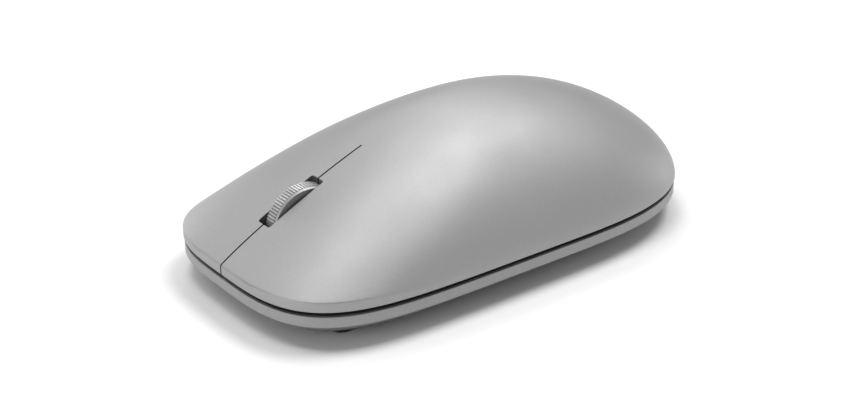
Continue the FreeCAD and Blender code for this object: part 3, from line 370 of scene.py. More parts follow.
def crown(s, angle, turn, gap=0.0, edges=True):
    """Points of the domed skin; turn runs from 0 at its top to 1 at its rim."""
    share = np.sin(np.pi / 2 * np.clip(turn, 0, 1))
    away = reach(s, angle, share**2, gap) * share
    x, y = away * np.cos(angle), s.widest_y + away * np.sin(angle)
    rim_y = s.widest_y + reach(s, angle, 1.0) * np.sin(angle)
    front = 1 - smooth((rim_y - s.sharp_y) / (s.soft_y - s.sharp_y))
    rear = smooth(2 * rim_y / s.length)

    half_x, half_y = half_sizes(s, np.sin(angle), gap)
    lengthwise = (np.sin(angle) / half_y) ** 2
    lengthwise = lengthwise / (lengthwise + (np.cos(angle) / half_x) ** 2)
    near_rim = share**s.blend_power
    ahead = front * near_rim + np.where(np.sin(angle) < 0, lengthwise, 0) * (1 - near_rim)
    behind = rear * near_rim + np.where(np.sin(angle) < 0, 0, lengthwise) * (1 - near_rim)

    def mixed(at_front, at_side, at_rear):
        return at_front * ahead + (1 - ahead) * (at_side * (1 - behind) + at_rear * behind)

    edge_z = s.rim_z + s.front_skirt * front + s.side_skirt * (1 - front) - INNER_RIM_SINK * gap
    slope = mixed(s.front_slope, s.side_slope, s.rear_slope)
    shoulder = mixed(s.front_shoulder, s.side_shoulder, s.rear_shoulder)
    fall = (np.sqrt(1 + (slope * share) ** 2) - 1) / (np.sqrt(1 + slope**2) - 1)
    z = edge_z + (s.height - gap - edge_z) * np.maximum(1 - fall, 0) ** (1 / shoulder)
    if edges:
        inward = reach(s, angle, 1.0, gap) - away
        z = z - front * edge_drop(inward, s.crease_edge) - edge_drop(opening_distance(s, x, y), s.slit_edge)
    return np.stack([x, y, z], axis=-1)


def crown_at(s, x, y, gap=0.0, edges=True):
    """Points and outward normals of the domed skin over places in plan."""
    angle = np.arctan2(y - s.widest_y, x)
    turn = np.arcsin(share_at(s, x, y, gap)) * 2 / np.pi
    here = crown(s, angle, turn, gap, edges)
    here[..., 0], here[..., 1] = x, y
    lower, upper = turn + NUDGE, np.maximum(turn - NUDGE, 0)
    outward = crown(s, angle, lower, gap, edges) - crown(s, angle, upper, gap, edges)
    at_top = turn + TINY < TOP_TURN
    off_top = np.maximum(turn, TOP_TURN)
    aside = crown(s, angle + NUDGE, off_top, gap, edges) - crown(s, angle - NUDGE, off_top, gap, edges)
    normal = np.cross(outward, aside)
    normal /= np.maximum(np.linalg.norm(normal, axis=-1, keepdims=True), 1e-18)
    normal[at_top] = (0, 0, 1)
    return here, normal


def outline(s, angle, inset=0.0):
    """Plan outline moved inwards along its normal, and that outward normal."""
    def point(at):
        r = reach(s, at, 1.0)
        return np.stack([r * np.cos(at), s.widest_y + r * np.sin(at)], axis=-1)

    step = 1e-3
    along = point(angle + step) - point(angle - step)
    along /= np.linalg.norm(along, axis=-1, keepdims=True)
    normal = np.stack([along[..., 1], -along[..., 0]], axis=-1)
    return point(angle) - normal * inset, normal


def side_x(s, y, gap=0.0):
    """Half width of the plan at a station."""
    half_x, half_y = half_sizes(s, y - s.widest_y, gap)
    power_x, power_y = powers(s, y - s.widest_y, 1.0)
    return half_x * np.maximum(1 - (np.abs(y - s.widest_y) / half_y) ** power_y, 0) ** (1 / power_x)


def front_y(s, x, gap=0.0):
    """Front outline at a distance from the centre line."""
    half_x, half_y = half_sizes(s, np.full_like(x, -1.0), gap)
    power_x, power_y = powers(s, np.full_like(x, -1.0), 1.0)
    return s.widest_y - half_y * np.maximum(1 - (np.abs(x) / half_x) ** power_x, 0) ** (1 / power_y)


# ---------------------------------------------------------------- mesh helpers
def new_mesh(name, points, faces, loop_normals=None):
    """Mesh object in the scene, smooth shaded, with its own corner normals where they are given."""
    mesh = bpy.data.meshes.new(name)
    mesh.from_pydata([tuple(p) for p in points], [], faces)
    mesh.validate(clean_customdata=False)
    mesh.polygons.foreach_set("use_smooth", [True] * len(mesh.polygons))
    if loop_normals is not None:
        mesh.normals_split_custom_set([tuple(n) for n in loop_normals])
    mesh.update()
    piece = bpy.data.objects.new(name, mesh)
    bpy.context.scene.collection.objects.link(piece)
    return piece


def open_edges(faces):
    """Directed edges that only one face uses."""
    seen = {}
    for face in faces:
        for a, b in zip(face, face[1:] + face[:1]):
            seen[(a, b)] = True
    return [edge for edge in seen if (edge[1], edge[0]) not in seen]


def mark_faces(piece, values):
    """Notes on each face whether it takes the second colour: uncoated material on some parts, painted shade
    on others.
    """
    mark = piece.data.attributes.new(BARE_OR_SHADE, "FLOAT", "FACE")
    mark.data.foreach_set("value", values)


def cut_wall(outer, inner):
    """Rows of points straight across the wall, and their blank normals."""
    shares = (np.arange(WALL_ROWS) + 1) / (WALL_ROWS + 1)
    rows = outer[:, None, :] + (inner - outer)[:, None, :] * shares[None, :, None]
    return rows, np.zeros_like(rows)


def closed_shell(name, outer, outer_normals, inner, inner_normals, faces, chain, chain_normals):
    """Solid wall between two skins that share their faces' layout.

    chain gives, for each vertex, the rows of points from the outer edge to the inner edge. chain_normals
    gives the normals of those rows where the wall is a smooth skirt, or zeros where it is a plain cut.
    """
    count, rows = len(outer), chain.shape[1]
    edges = open_edges(faces)
    rim = sorted({v for edge in edges for v in edge})
    slot_of = {v: i for i, v in enumerate(rim)}
    points = np.concatenate([outer, inner, chain[rim].reshape(-1, 3)])

    def at(vertex, row):
        if row < 0:
            return vertex
        return count + vertex if row == rows else 2 * count + slot_of[vertex] * rows + row

    def normal_of(vertex, row):
        if row < 0:
            return outer_normals[vertex]
        return chain_normals[vertex, min(row, rows - 1)]

    all_faces, normals = [], []
    for face in faces:
        all_faces.append(face)
        normals.extend(outer_normals[v] for v in face)
    for face in faces:
        all_faces.append([count + v for v in reversed(face)])
        normals.extend(-inner_normals[v] for v in reversed(face))
    for a, b in edges:
        plain = not (chain_normals[a, 0].any() and chain_normals[b, 0].any())
        for row in range(-1, rows):
            all_faces.append([at(b, row), at(a, row), at(a, row + 1), at(b, row + 1)])
            corners = ((b, row), (a, row), (a, row + 1), (b, row + 1))
            normals.extend((0, 0, 0) if plain else normal_of(v, r) for v, r in corners)
    wall_start = 2 * len(faces)
    piece = new_mesh(name, points, all_faces)
    for polygon in piece.data.polygons[wall_start:]:
        a, b = edges[(polygon.index - wall_start) // (rows + 1)]
        polygon.use_smooth = bool(chain_normals[a, 0].any() and chain_normals[b, 0].any())
    piece.data.normals_split_custom_set([tuple(n) for n in normals])
    # painted shade: the inner skin, the walls cut along the slit and the slot, and the foot of the rim take
    # the darker second colour, which stands for the shade inside them
    bare_or_shade = [0.0] * len(faces) + [1.0] * len(faces)
    for a, b in edges:
        skirt = chain_normals[a, 0].any() and chain_normals[b, 0].any()
        bare_or_shade.extend([0.0 if skirt and row < rows - 2 else 1.0 for row in range(-1, rows)])
    mark_faces(piece, bare_or_shade)
    return piece


def skirt_rows(s, angle, edge_z, gap_inner):
    """Rows of points and normals down the skirt, round its lower rim and across its foot."""
    rows, normals = [], []
    start, direction = outline(s, angle)
    wall_low = s.rim_z + s.rim_edge

    def add(inset, z, up):
        plan = start - direction * inset
        rows.append(np.stack([plan[:, 0], plan[:, 1], np.broadcast_to(z, plan[:, 0].shape)], axis=-1))
        side = math.sqrt(max(1 - up * up, 0))
        level = np.full(len(plan), up)
        normals.append(np.stack([direction[:, 0] * side, direction[:, 1] * side, level], axis=-1))

    for share in SKIRT_SHARES:
        add(0.0, edge_z + (wall_low - edge_z) * share, 0.0)
    for turn in np.linspace(0, math.pi / 2, ROUND_STEPS):
        add(s.rim_edge * (1 - math.cos(turn)), wall_low - s.rim_edge * math.sin(turn), -math.sin(turn))
    add(gap_inner * FOOT_SHARE, s.rim_z, -1.0)
    return np.stack(rows, axis=1), np.stack(normals, axis=1)


# ---------------------------------------------------------------- top shell pieces
def clustered(start, end, spacing, fine_start=(), fine_end=()):
    """Values from start to end, about spacing apart, with extra ones at given distances from either end."""
    low = start + (max(fine_start) if fine_start else 0)
    high = end - (max(fine_end) if fine_end else 0)
    middle = np.linspace(low, high, max(int(round((high - low) / spacing)), 1) + 1)
    head = [start + d for d in sorted(fine_start)[:-1]] if fine_start else []
    tail = [end - d for d in sorted(fine_end, reverse=True)[1:]] if fine_end else []
    values = np.array([*head, *middle, *tail])
    if not fine_start or min(fine_start) > 0:
        values = values if abs(values[0] - start) < TINY else np.concatenate([[start], values])
    if not fine_end or min(fine_end) > 0:
        values = values if abs(values[-1] - end) < TINY else np.concatenate([values, [end]])
    return values


def button_lines(s):
    """Stations across and along a button, closer together beside its edges."""
    edge = [0.0] + [s.slit_edge * k for k in EDGE_SHARES]
    rim = [0.0] + [k * MM for k in RIM_LINES]
    half_slit, half_slot = s.slit / 2, s.slot_width / 2
    side = float(side_x(s, np.array([s.slit_end_y]))[0])
    front = float(front_y(s, np.array([half_slit]))[0])
    corner = [0.0] + [s.slot_corner * k for k in CORNER_SHARES]
    across = np.unique(np.round(np.concatenate([
        clustered(half_slit, half_slot, SLIT_GRID, edge, corner),
        clustered(half_slot, side, GRID, edge, rim)]), 9))
    along = np.unique(np.round(np.concatenate([
        clustered(front, s.slot_front_y, GRID, rim, edge),
        clustered(s.slot_front_y, s.slot_rear_y, GRID, corner, corner),
        clustered(s.slot_rear_y, s.slit_end_y, GRID, edge)]), 9))
    return across, along


def button_plan(s, across, along, gap):
    """Places in plan of a button's grid: straight lines beside the slit, following the outline outside."""
    half_slit, end_y = s.slit / 2, s.slit_end_y
    side = float(side_x(s, np.array([end_y]), gap)[0])
    corner_x = s.corner_share * (s.width / 2 - gap)
    corner_y = float(front_y(s, np.array([corner_x]), gap)[0])
    u = (across - across[0]) / (across[-1] - across[0])
    v = (along - along[0]) / (along[-1] - along[0])
    straight = s.slot_width / 2 + STRAIGHT_BAND

    def stretched(to):
        """Across stations that stay put beside the slit and end at a given value."""
        share = np.clip((across - straight) / (across[-1] - straight), 0, 1)
        return across + (to - across[-1]) * share

    top_x, foot_x = stretched(side), stretched(corner_x)
    foot_y = front_y(s, foot_x, gap)
    side_y = corner_y + (end_y - corner_y) * v
    side_line = side_x(s, side_y, gap)
    front_start = float(foot_y[0])
    ahead = np.clip((s.slot_front_y - along) / (s.slot_front_y - along[0]), 0, 1)
    left_y = np.where(along < s.slot_front_y, s.slot_front_y + (front_start - s.slot_front_y) * ahead, along)

    uu, vv = np.meshgrid(u, v, indexing="ij")
    x = (1 - vv) * foot_x[:, None] + vv * top_x[:, None]
    x = x + (1 - uu) * half_slit + uu * side_line[None, :]
    x -= (1 - uu) * half_slit + uu * ((1 - vv) * corner_x + vv * side)
    y = (1 - vv) * foot_y[:, None] + vv * end_y + (1 - uu) * left_y[None, :] + uu * side_y[None, :]
    y -= (1 - uu) * ((1 - vv) * front_start + vv * end_y) + uu * ((1 - vv) * corner_y + vv * end_y)

    square_x = np.broadcast_to(top_x[:, None], x.shape)
    square_y = np.where(
        along[None, :] < s.slot_front_y,
        s.slot_front_y + (foot_y[:, None] - s.slot_front_y) * ahead[None, :],
        along[None, :])
    loose = smooth((across - straight) / LOOSENING)[:, None]
    return square_x * (1 - loose) + x * loose, square_y * (1 - loose) + y * loose


def round_slot_corners(s, x, y):
    """Moves grid points on the slot's square corners onto its rounded ones."""
    c, half = s.slot_corner, s.slot_width / 2
    for end, away in ((s.slot_front_y, 1), (s.slot_rear_y, -1)):
        cx, cy = half - c, end + away * c
        near_x = (x > cx - ON_LINE) & (x < half + ON_LINE)
        near = near_x & ((y - end) * away > -ON_LINE) & ((y - cy) * away < ON_LINE)
        dx, dy = x - cx, y - cy
        far = np.maximum(np.hypot(dx, dy), 1e-12)
        on_edge = near & ((np.abs(x - half) < ON_LINE) | (np.abs(y - end) < ON_LINE))
        x = np.where(on_edge, cx + dx / far * c, x)
        y = np.where(on_edge, cy + dy / far * c, y)
    return x, y


def button_piece(s, name, side):
    """One button's shell, seamless where it joins the palm cover."""
    across, along = button_lines(s)
    n, m = len(across), len(along)
    kept = []
    half, eps = s.slot_width / 2, 1e-7
    for i in range(n - 1):
        for j in range(m - 1):
            beside = across[i + 1] < half + eps
            within = along[j] > s.slot_front_y - eps and along[j + 1] < s.slot_rear_y + eps
            if not (beside and within):
                kept.append([i * m + j, (i + 1) * m + j, (i + 1) * m + j + 1, i * m + j + 1])

    x, y = round_slot_corners(s, *button_plan(s, across, along, 0.0))
    xi, yi = round_slot_corners(s, *button_plan(s, across, along, s.wall))
    outer, outer_n = crown_at(s, x.ravel(), y.ravel())
    inner, inner_n = crown_at(s, xi.ravel(), yi.ravel(), s.wall, False)
    inner[:, 2] = np.maximum(inner[:, 2], s.rim_z)

    chain, chain_n = cut_wall(outer, inner)
    index = np.arange(n * m).reshape(n, m)
    rim = np.concatenate([index[:, 0], index[-1, 1:]])
    angle = np.arctan2(outer[rim, 1] - s.widest_y, outer[rim, 0])
    chain[rim], chain_n[rim] = skirt_rows(s, angle, outer[rim, 2], s.wall)
    if side < 0:
        for array in (outer, inner, chain, outer_n, inner_n, chain_n):
            array[..., 0] *= -1
        kept = [face[::-1] for face in kept]
    return closed_shell(name, outer, outer_n, inner, inner_n, kept, chain, chain_n)


def palm_piece(s, name):
    """Palm cover: rings round the crown's top, out to the rim and the line where the buttons flex."""
    end_y = s.slit_end_y
    side = float(side_x(s, np.array([end_y]))[0])
    first = math.atan2(end_y - s.widest_y, side)
    round_angles = np.linspace(first, math.pi - first, PALM_ANGLES)
    fine = [k * MM for k in PALM_LINES]
    beside_slit = [sign * d * MM for sign in (-1, 1) for d in SLIT_LINES]
    line = np.concatenate([clustered(-side, side, GRID, fine, fine), beside_slit])
    line = np.unique(np.round(line, 9))[1:-1]

    def border(gap):
        """Border points in plan, anticlockwise, for a skin that lies gap deeper."""
        half = float(side_x(s, np.array([end_y]), gap)[0])
        start = math.atan2(end_y - s.widest_y, half)
        angles = start + (round_angles - first) * (math.pi - 2 * start) / (math.pi - 2 * first)
        r = reach(s, angles, 1.0, gap)
        curved = np.stack([r * np.cos(angles), s.widest_y + r * np.sin(angles)], axis=-1)
        cut = np.stack([line * half / side, np.full(len(line), end_y)], axis=-1)
        return np.concatenate([curved, cut])

    rings = np.sin(np.pi / 2 * PALM_TURNS)
    count = len(round_angles) + len(line)

    def plan(gap):
        edge = border(gap) - (0, s.widest_y)
        grid = edge[None, :, :] * rings[:, None, None]
        return np.concatenate([[[0.0, s.widest_y]], (grid + (0, s.widest_y)).reshape(-1, 2)])

    at, under = plan(0.0), plan(s.wall)
    outer, outer_n = crown_at(s, at[:, 0], at[:, 1])
    inner, inner_n = crown_at(s, under[:, 0], under[:, 1], s.wall, False)
    inner[:, 2] = np.maximum(inner[:, 2], s.rim_z)
    faces = []
    for k in range(count):
        after = (k + 1) % count
        faces.append([0, 1 + k, 1 + after])
        for ring in range(len(rings) - 1):
            a, b = 1 + ring * count, 1 + (ring + 1) * count
            faces.append([a + k, b + k, b + after, a + after])

    chain, chain_n = cut_wall(outer, inner)
    rim = 1 + (len(rings) - 1) * count + np.arange(len(round_angles))
    chain[rim], chain_n[rim] = skirt_rows(s, round_angles, outer[rim, 2], s.wall)
    return closed_shell(name, outer, outer_n, inner, inner_n, faces, chain, chain_n)


# ---------------------------------------------------------------- base, wheel and small parts
def loops_solid(name, loops, capped=True):
    """Solid skin through successive closed loops of points."""
    count = len(loops[0])
    points = np.concatenate(loops)
    faces = []
    for row in range(len(loops) - 1):
        a, b = row * count, (row + 1) * count
        for k in range(count):
            after = (k + 1) % count
            faces.append([a + k, a + after, b + after, b + k])
    if capped:
        faces.append(list(range(count))[::-1])
        last = (len(loops) - 1) * count
        faces.append([last + k for k in range(count)])
    return new_mesh(name, points, faces)


def at_height(plan, z):
    """Plan points lifted to a height."""
    return np.column_stack([plan, np.full(len(plan), z)])


def undercut_drop(b, share):
    """How far the sloping underside has fallen at a share of its width."""
    return (b.band_z - b.floor_z) * share + 4 * b.bulge * share * (1 - share)


def base_piece(s, b, name):
    """Base shell as one closed wall from the groove down to the floor and back up inside."""
    angle = np.linspace(0, 2 * math.pi, BASE_POINTS)[:-1]
    loops = []

    def add(inset, z):
        loops.append(at_height(outline(s, angle, inset)[0], z))

    cavity = b.inset + b.wall
    for share in np.linspace(1.0, 0.0, 6)[:-1]:
        add(cavity + b.undercut * share, b.band_z - undercut_drop(b, share) + b.floor * share)
    add(cavity, b.band_z)
    add(cavity, b.rim_z - b.rebate)
    add(b.inset + b.lip, b.rim_z - b.rebate)
    add(b.inset + b.lip, b.rim_z)
    for turn in np.linspace(math.pi / 2, 0, ROUND_STEPS):
        add(b.inset + b.rim_edge * (1 - math.cos(turn)), b.rim_z - b.rim_edge * (1 - math.sin(turn)))
    slope = math.atan2(b.band_z - b.floor_z, b.undercut)
    bend = math.pi / 2 - slope
    run = b.crease * math.tan(bend / 2)
    for turn in np.linspace(0, bend, 6):
        add(b.inset + b.crease * (1 - math.cos(turn)), b.band_z + run - b.crease * math.sin(turn))
    for share in UNDERCUT_SHARES:
        add(b.inset + b.undercut * share, b.band_z - undercut_drop(b, share))
    return loops_solid(name, [loop[::-1] for loop in loops])


def stadium(x, y, long, wide, corner, count=10):
    """Anticlockwise plan of a rectangle with round corners."""
    points = []
    corner = min(corner, wide / 2 - 1e-6, long / 2 - 1e-6)
    for sx, sy, start in ((1, 1, 0), (-1, 1, 1), (-1, -1, 2), (1, -1, 3)):
        centre = (x + sx * (wide / 2 - corner), y + sy * (long / 2 - corner))
        for turn in np.linspace(start * math.pi / 2, (start + 1) * math.pi / 2, count):
            points.append((centre[0] + corner * math.cos(turn), centre[1] + corner * math.sin(turn)))
    return np.array(points)


def grown(plan, by):
    """Plan moved outwards along its corners' normals."""
    before, after = np.roll(plan, 1, axis=0), np.roll(plan, -1, axis=0)
    along = after - before
    along /= np.maximum(np.linalg.norm(along, axis=1, keepdims=True), 1e-12)
    return plan + np.stack([along[:, 1], -along[:, 0]], axis=1) * by


def apply_modifiers(piece):
    """Makes the mesh that a piece's modifiers give its own."""
    piece.data = bpy.data.meshes.new_from_object(piece.evaluated_get(bpy.context.evaluated_depsgraph_get()))
    piece.modifiers.clear()


def cut_opening(piece, plan, low, high, mouth):
    """Cuts an upright opening whose mouth is chamfered at its lower end."""
    cutter = loops_solid("cutter", [
        at_height(grown(plan, mouth + OVERCUT), low - OVERCUT),
        at_height(grown(plan, mouth), low),
        at_height(plan, low + mouth),
        at_height(plan, high)])
    modifier = piece.modifiers.new("cut", "BOOLEAN")
    modifier.operation = "DIFFERENCE"
    modifier.solver = "EXACT"
    modifier.object = cutter
    apply_modifiers(piece)
    bpy.data.objects.remove(cutter)


def sharp_by_angle(piece, degrees):
    """Smooth shading with sharp edges above an angle."""
    piece.data.polygons.foreach_set("use_smooth", [True] * len(piece.data.polygons))
    piece.data.set_sharp_from_angle(angle=math.radians(degrees))


def softened(node, name, width, degrees=30):
    """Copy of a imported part, merged, with a small round on its edges."""
    mesh = frame["nodes"][node].data.copy()
    mesh.name = name
    piece = bpy.data.objects.new(name, mesh)
    bpy.context.scene.collection.objects.link(piece)
    work = bmesh.new()
    work.from_mesh(mesh)
    bmesh.ops.remove_doubles(work, verts=work.verts, dist=MERGE)
    flat = math.radians(FLAT_DEGREES)
    bmesh.ops.dissolve_limit(work, angle_limit=flat, verts=work.verts, edges=work.edges)
    work.to_mesh(mesh)
    work.free()
    mesh.materials.clear()
    if width:
        bevel = piece.modifiers.new("edge", "BEVEL")
        bevel.width, bevel.segments, bevel.limit_method = width, EDGE_SEGMENTS, "ANGLE"
        bevel.angle_limit = math.radians(degrees)
        apply_modifiers(piece)
        piece.data.name = name
    sharp_by_angle(piece, degrees)
    return piece


def lathe(name, profile, centre):
    """Turned piece round an axis along X; profile is (x, radius) pairs in order."""
    loops = []
    turns = np.linspace(0, 2 * math.pi, LATHE_COUNT + 1)[:-1]
    for x, radius in profile:
        loops.append(np.column_stack([
            np.full(LATHE_COUNT, centre[0] + x),
            centre[1] + radius * np.cos(turns),
            centre[2] + radius * np.sin(turns)]))
    piece = loops_solid(name, loops + loops[:1], False)
    work = bmesh.new()
    work.from_mesh(piece.data)
    bmesh.ops.remove_doubles(work, verts=work.verts, dist=ON_LINE)
    bmesh.ops.recalc_face_normals(work, faces=work.faces)
    work.to_mesh(piece.data)
    work.free()
    sharp_by_angle(piece, LATHE_DEGREES)
    return piece


def link(tree, source, output, target, name):
    """Joins an output to an input."""
    tree.links.new(source.outputs[output], target.inputs[name])


def rib_nodes():
    """Node tree that sets bars round an axis along X, with their number, ring and bar sizes as inputs."""
    tree = bpy.data.node_groups.new("ring_of_ribs", "GeometryNodeTree")
    for name, kind in (("Count", "NodeSocketInt"), ("Radius", "NodeSocketFloat"), ("Long", "NodeSocketFloat"),
                       ("Tall", "NodeSocketFloat"), ("Wide", "NodeSocketFloat"),
                       ("Finish", "NodeSocketMaterial")):
        tree.interface.new_socket(name, in_out="INPUT", socket_type=kind)
    tree.interface.new_socket("Geometry", in_out="OUTPUT", socket_type="NodeSocketGeometry")
    given, out = tree.nodes.new("NodeGroupInput"), tree.nodes.new("NodeGroupOutput")
    index = tree.nodes.new("GeometryNodeInputIndex")
    turn = add(tree, "ShaderNodeMath", {"operation": "DIVIDE"}, None, [(index, 0, 0), (given, "Count", 1)])
    angle = add(tree, "ShaderNodeMath", {"operation": "MULTIPLY"}, {1: 2 * math.pi}, [(turn, 0, 0)])
    place = {}
    for axis, function in (("Y", "COSINE"), ("Z", "SINE")):
        wave = add(tree, "ShaderNodeMath", {"operation": function}, None, [(angle, 0, 0)])
        place[axis] = add(tree, "ShaderNodeMath", {"operation": "MULTIPLY"}, None,
                          [(wave, 0, 0), (given, "Radius", 1)])
    spot = add(tree, "ShaderNodeCombineXYZ", None, None, [(place["Y"], 0, "Y"), (place["Z"], 0, "Z")])
    spin = add(tree, "ShaderNodeCombineXYZ", None, None, [(angle, 0, "X")])
    shape = add(tree, "ShaderNodeCombineXYZ", None, None,
                [(given, "Long", "X"), (given, "Tall", "Y"), (given, "Wide", "Z")])
    bar = add(tree, "GeometryNodeMeshCube", None, None, [(shape, 0, "Size")])
    points = add(tree, "GeometryNodePoints", None, None,
                 [(given, "Count", "Count"), (spot, 0, "Position")])
    bars = add(tree, "GeometryNodeInstanceOnPoints", None, None,
               [(points, 0, "Points"), (bar, 0, "Instance"), (spin, 0, "Rotation")])
    solid = add(tree, "GeometryNodeRealizeInstances", None, None, [(bars, 0, "Geometry")])
    painted_bars = add(tree, "GeometryNodeSetMaterial", None, None,
                       [(solid, 0, "Geometry"), (given, "Finish", "Material")])
    link(tree, painted_bars, 0, out, "Geometry")
    return tree


def from_nodes(name, tree, values):
    """Mesh object made by a node tree with the given inputs."""
    holder = bpy.data.objects.new(name, bpy.data.meshes.new(name))
    bpy.context.scene.collection.objects.link(holder)
    modifier = holder.modifiers.new("nodes", "NODES")
    modifier.node_group = tree
    for item in tree.interface.items_tree:
        if item.in_out == "INPUT":
            modifier[item.identifier] = values[item.name]
    apply_modifiers(holder)
    holder.data.name = name
    return holder


# ---------------------------------------------------------------- materials
def linear(code):
    """Linear colour of an sRGB hex word."""
    parts = [int(code[i:i + 2], 16) / 255 for i in (1, 3, 5)]
    return [p / 12.92 if p <= 0.04045 else ((p + 0.055) / 1.055) ** 2.4 for p in parts] + [1.0]


def add(tree, kind, settings=None, inputs=None, links=()):
    """Adds a node, with its settings, input values and links from (node, output) to its inputs."""
    node = tree.nodes.new(kind)
    for key, value in (settings or {}).items():
        setattr(node, key, value)
    for key, value in (inputs or {}).items():
        node.inputs[key].default_value = value
    for source, output, target in links:
        tree.links.new(source.outputs[output], node.inputs[target])
    return node


def object_noise(tree, size_mm, settings):
    """Noise in object space whose features have a real size."""
    place = add(tree, "ShaderNodeTexCoord")
    return add(tree, "ShaderNodeTexNoise", None, {"Scale": 1 / (size_mm * MM), **settings},
               [(place, "Object", "Vector")])


def grain_bump(tree, size_mm, strength, distance_mm):
    """Fine surface texture whose grain has a real size."""
    grain = object_noise(tree, size_mm, GRAIN_NOISE)
    return add(tree, "ShaderNodeBump", None, {"Strength": strength, "Distance": distance_mm * MM},
               [(grain, "Fac", "Height")])


def spread(tree, source, low, high):
    """Maps the middle of a noise to a range of values."""
    return add(tree, "ShaderNodeMapRange", None,
               {"From Min": 0.3, "From Max": 0.7, "To Min": low, "To Max": high}, [(source, "Fac", "Value")])


def material(name, base, settings, texture=None, mottle=None):
    """Principled material with an optional grain (size, strength, depth in mm) and mottle (size mm, hex).

    The roughness wanders a little either side of its value, as handling and moulding leave it.
    """
    made = bpy.data.materials.new(name)
    made.use_nodes = True
    tree = made.node_tree
    tree.nodes.clear()
    shader = add(tree, "ShaderNodeBsdfPrincipled", None, {"Base Color": linear(base), **settings})
    add(tree, "ShaderNodeOutputMaterial", None, None, [(shader, "BSDF", "Surface")])
    rough = settings.get("Roughness", 0.5)
    patches = spread(tree, object_noise(tree, WEAR_PATCH, PATCH_NOISE),
                     rough * (1 - WEAR_SHARE), rough * (1 + WEAR_SHARE))
    tree.links.new(patches.outputs["Result"], shader.inputs["Roughness"])
    if texture:
        bump = grain_bump(tree, *texture)
        tree.links.new(bump.outputs["Normal"], shader.inputs["Normal"])
    if mottle:
        mix = add(tree, "ShaderNodeMix", {"data_type": "RGBA"}, {6: linear(base), 7: linear(mottle[1])},
                  [(object_noise(tree, mottle[0], PATCH_NOISE), "Fac", "Factor")])
        tree.links.new(mix.outputs[2], shader.inputs["Base Color"])
    return made


def painted(name, paint, bare_or_shade_colour, settings, texture, flakes, bare_or_shade_metallic=0.0):
    """Coat with fine flakes, and a second colour where the mesh's mark is set: uncoated material on some
    parts, painted shade on others.
    """
    made = material(name, paint, settings, texture)
    tree = made.node_tree
    shader = next(node for node in tree.nodes if node.type == "BSDF_PRINCIPLED")
    place = add(tree, "ShaderNodeTexCoord")
    cells = add(tree, "ShaderNodeTexVoronoi", None, {"Scale": 1 / (flakes[0] * MM)},
                [(place, "Object", "Vector")])
    split = add(tree, "ShaderNodeSeparateColor", None, None, [(cells, "Color", "Color")])
    tone = add(tree, "ShaderNodeMix", {"data_type": "RGBA"}, {6: linear(paint), 7: linear(flakes[1])},
               [(split, "Red", "Factor")])
    # the mark swaps the coat for the second colour, which is painted shade on the shell, the base and the
    # wheel
    bare_or_shade = add(tree, "ShaderNodeAttribute", {"attribute_name": BARE_OR_SHADE})
    under = add(tree, "ShaderNodeMix", {"data_type": "RGBA"}, {7: linear(bare_or_shade_colour)},
                [(bare_or_shade, "Fac", "Factor"), (tone, 2, 6)])
    tree.links.new(under.outputs[2], shader.inputs["Base Color"])
    metal = add(tree, "ShaderNodeMapRange", None, {"To Min": settings["Metallic"], "To Max": bare_or_shade_metallic},
                [(bare_or_shade, "Fac", "Value")])
    tree.links.new(metal.outputs["Result"], shader.inputs["Metallic"])
    return made


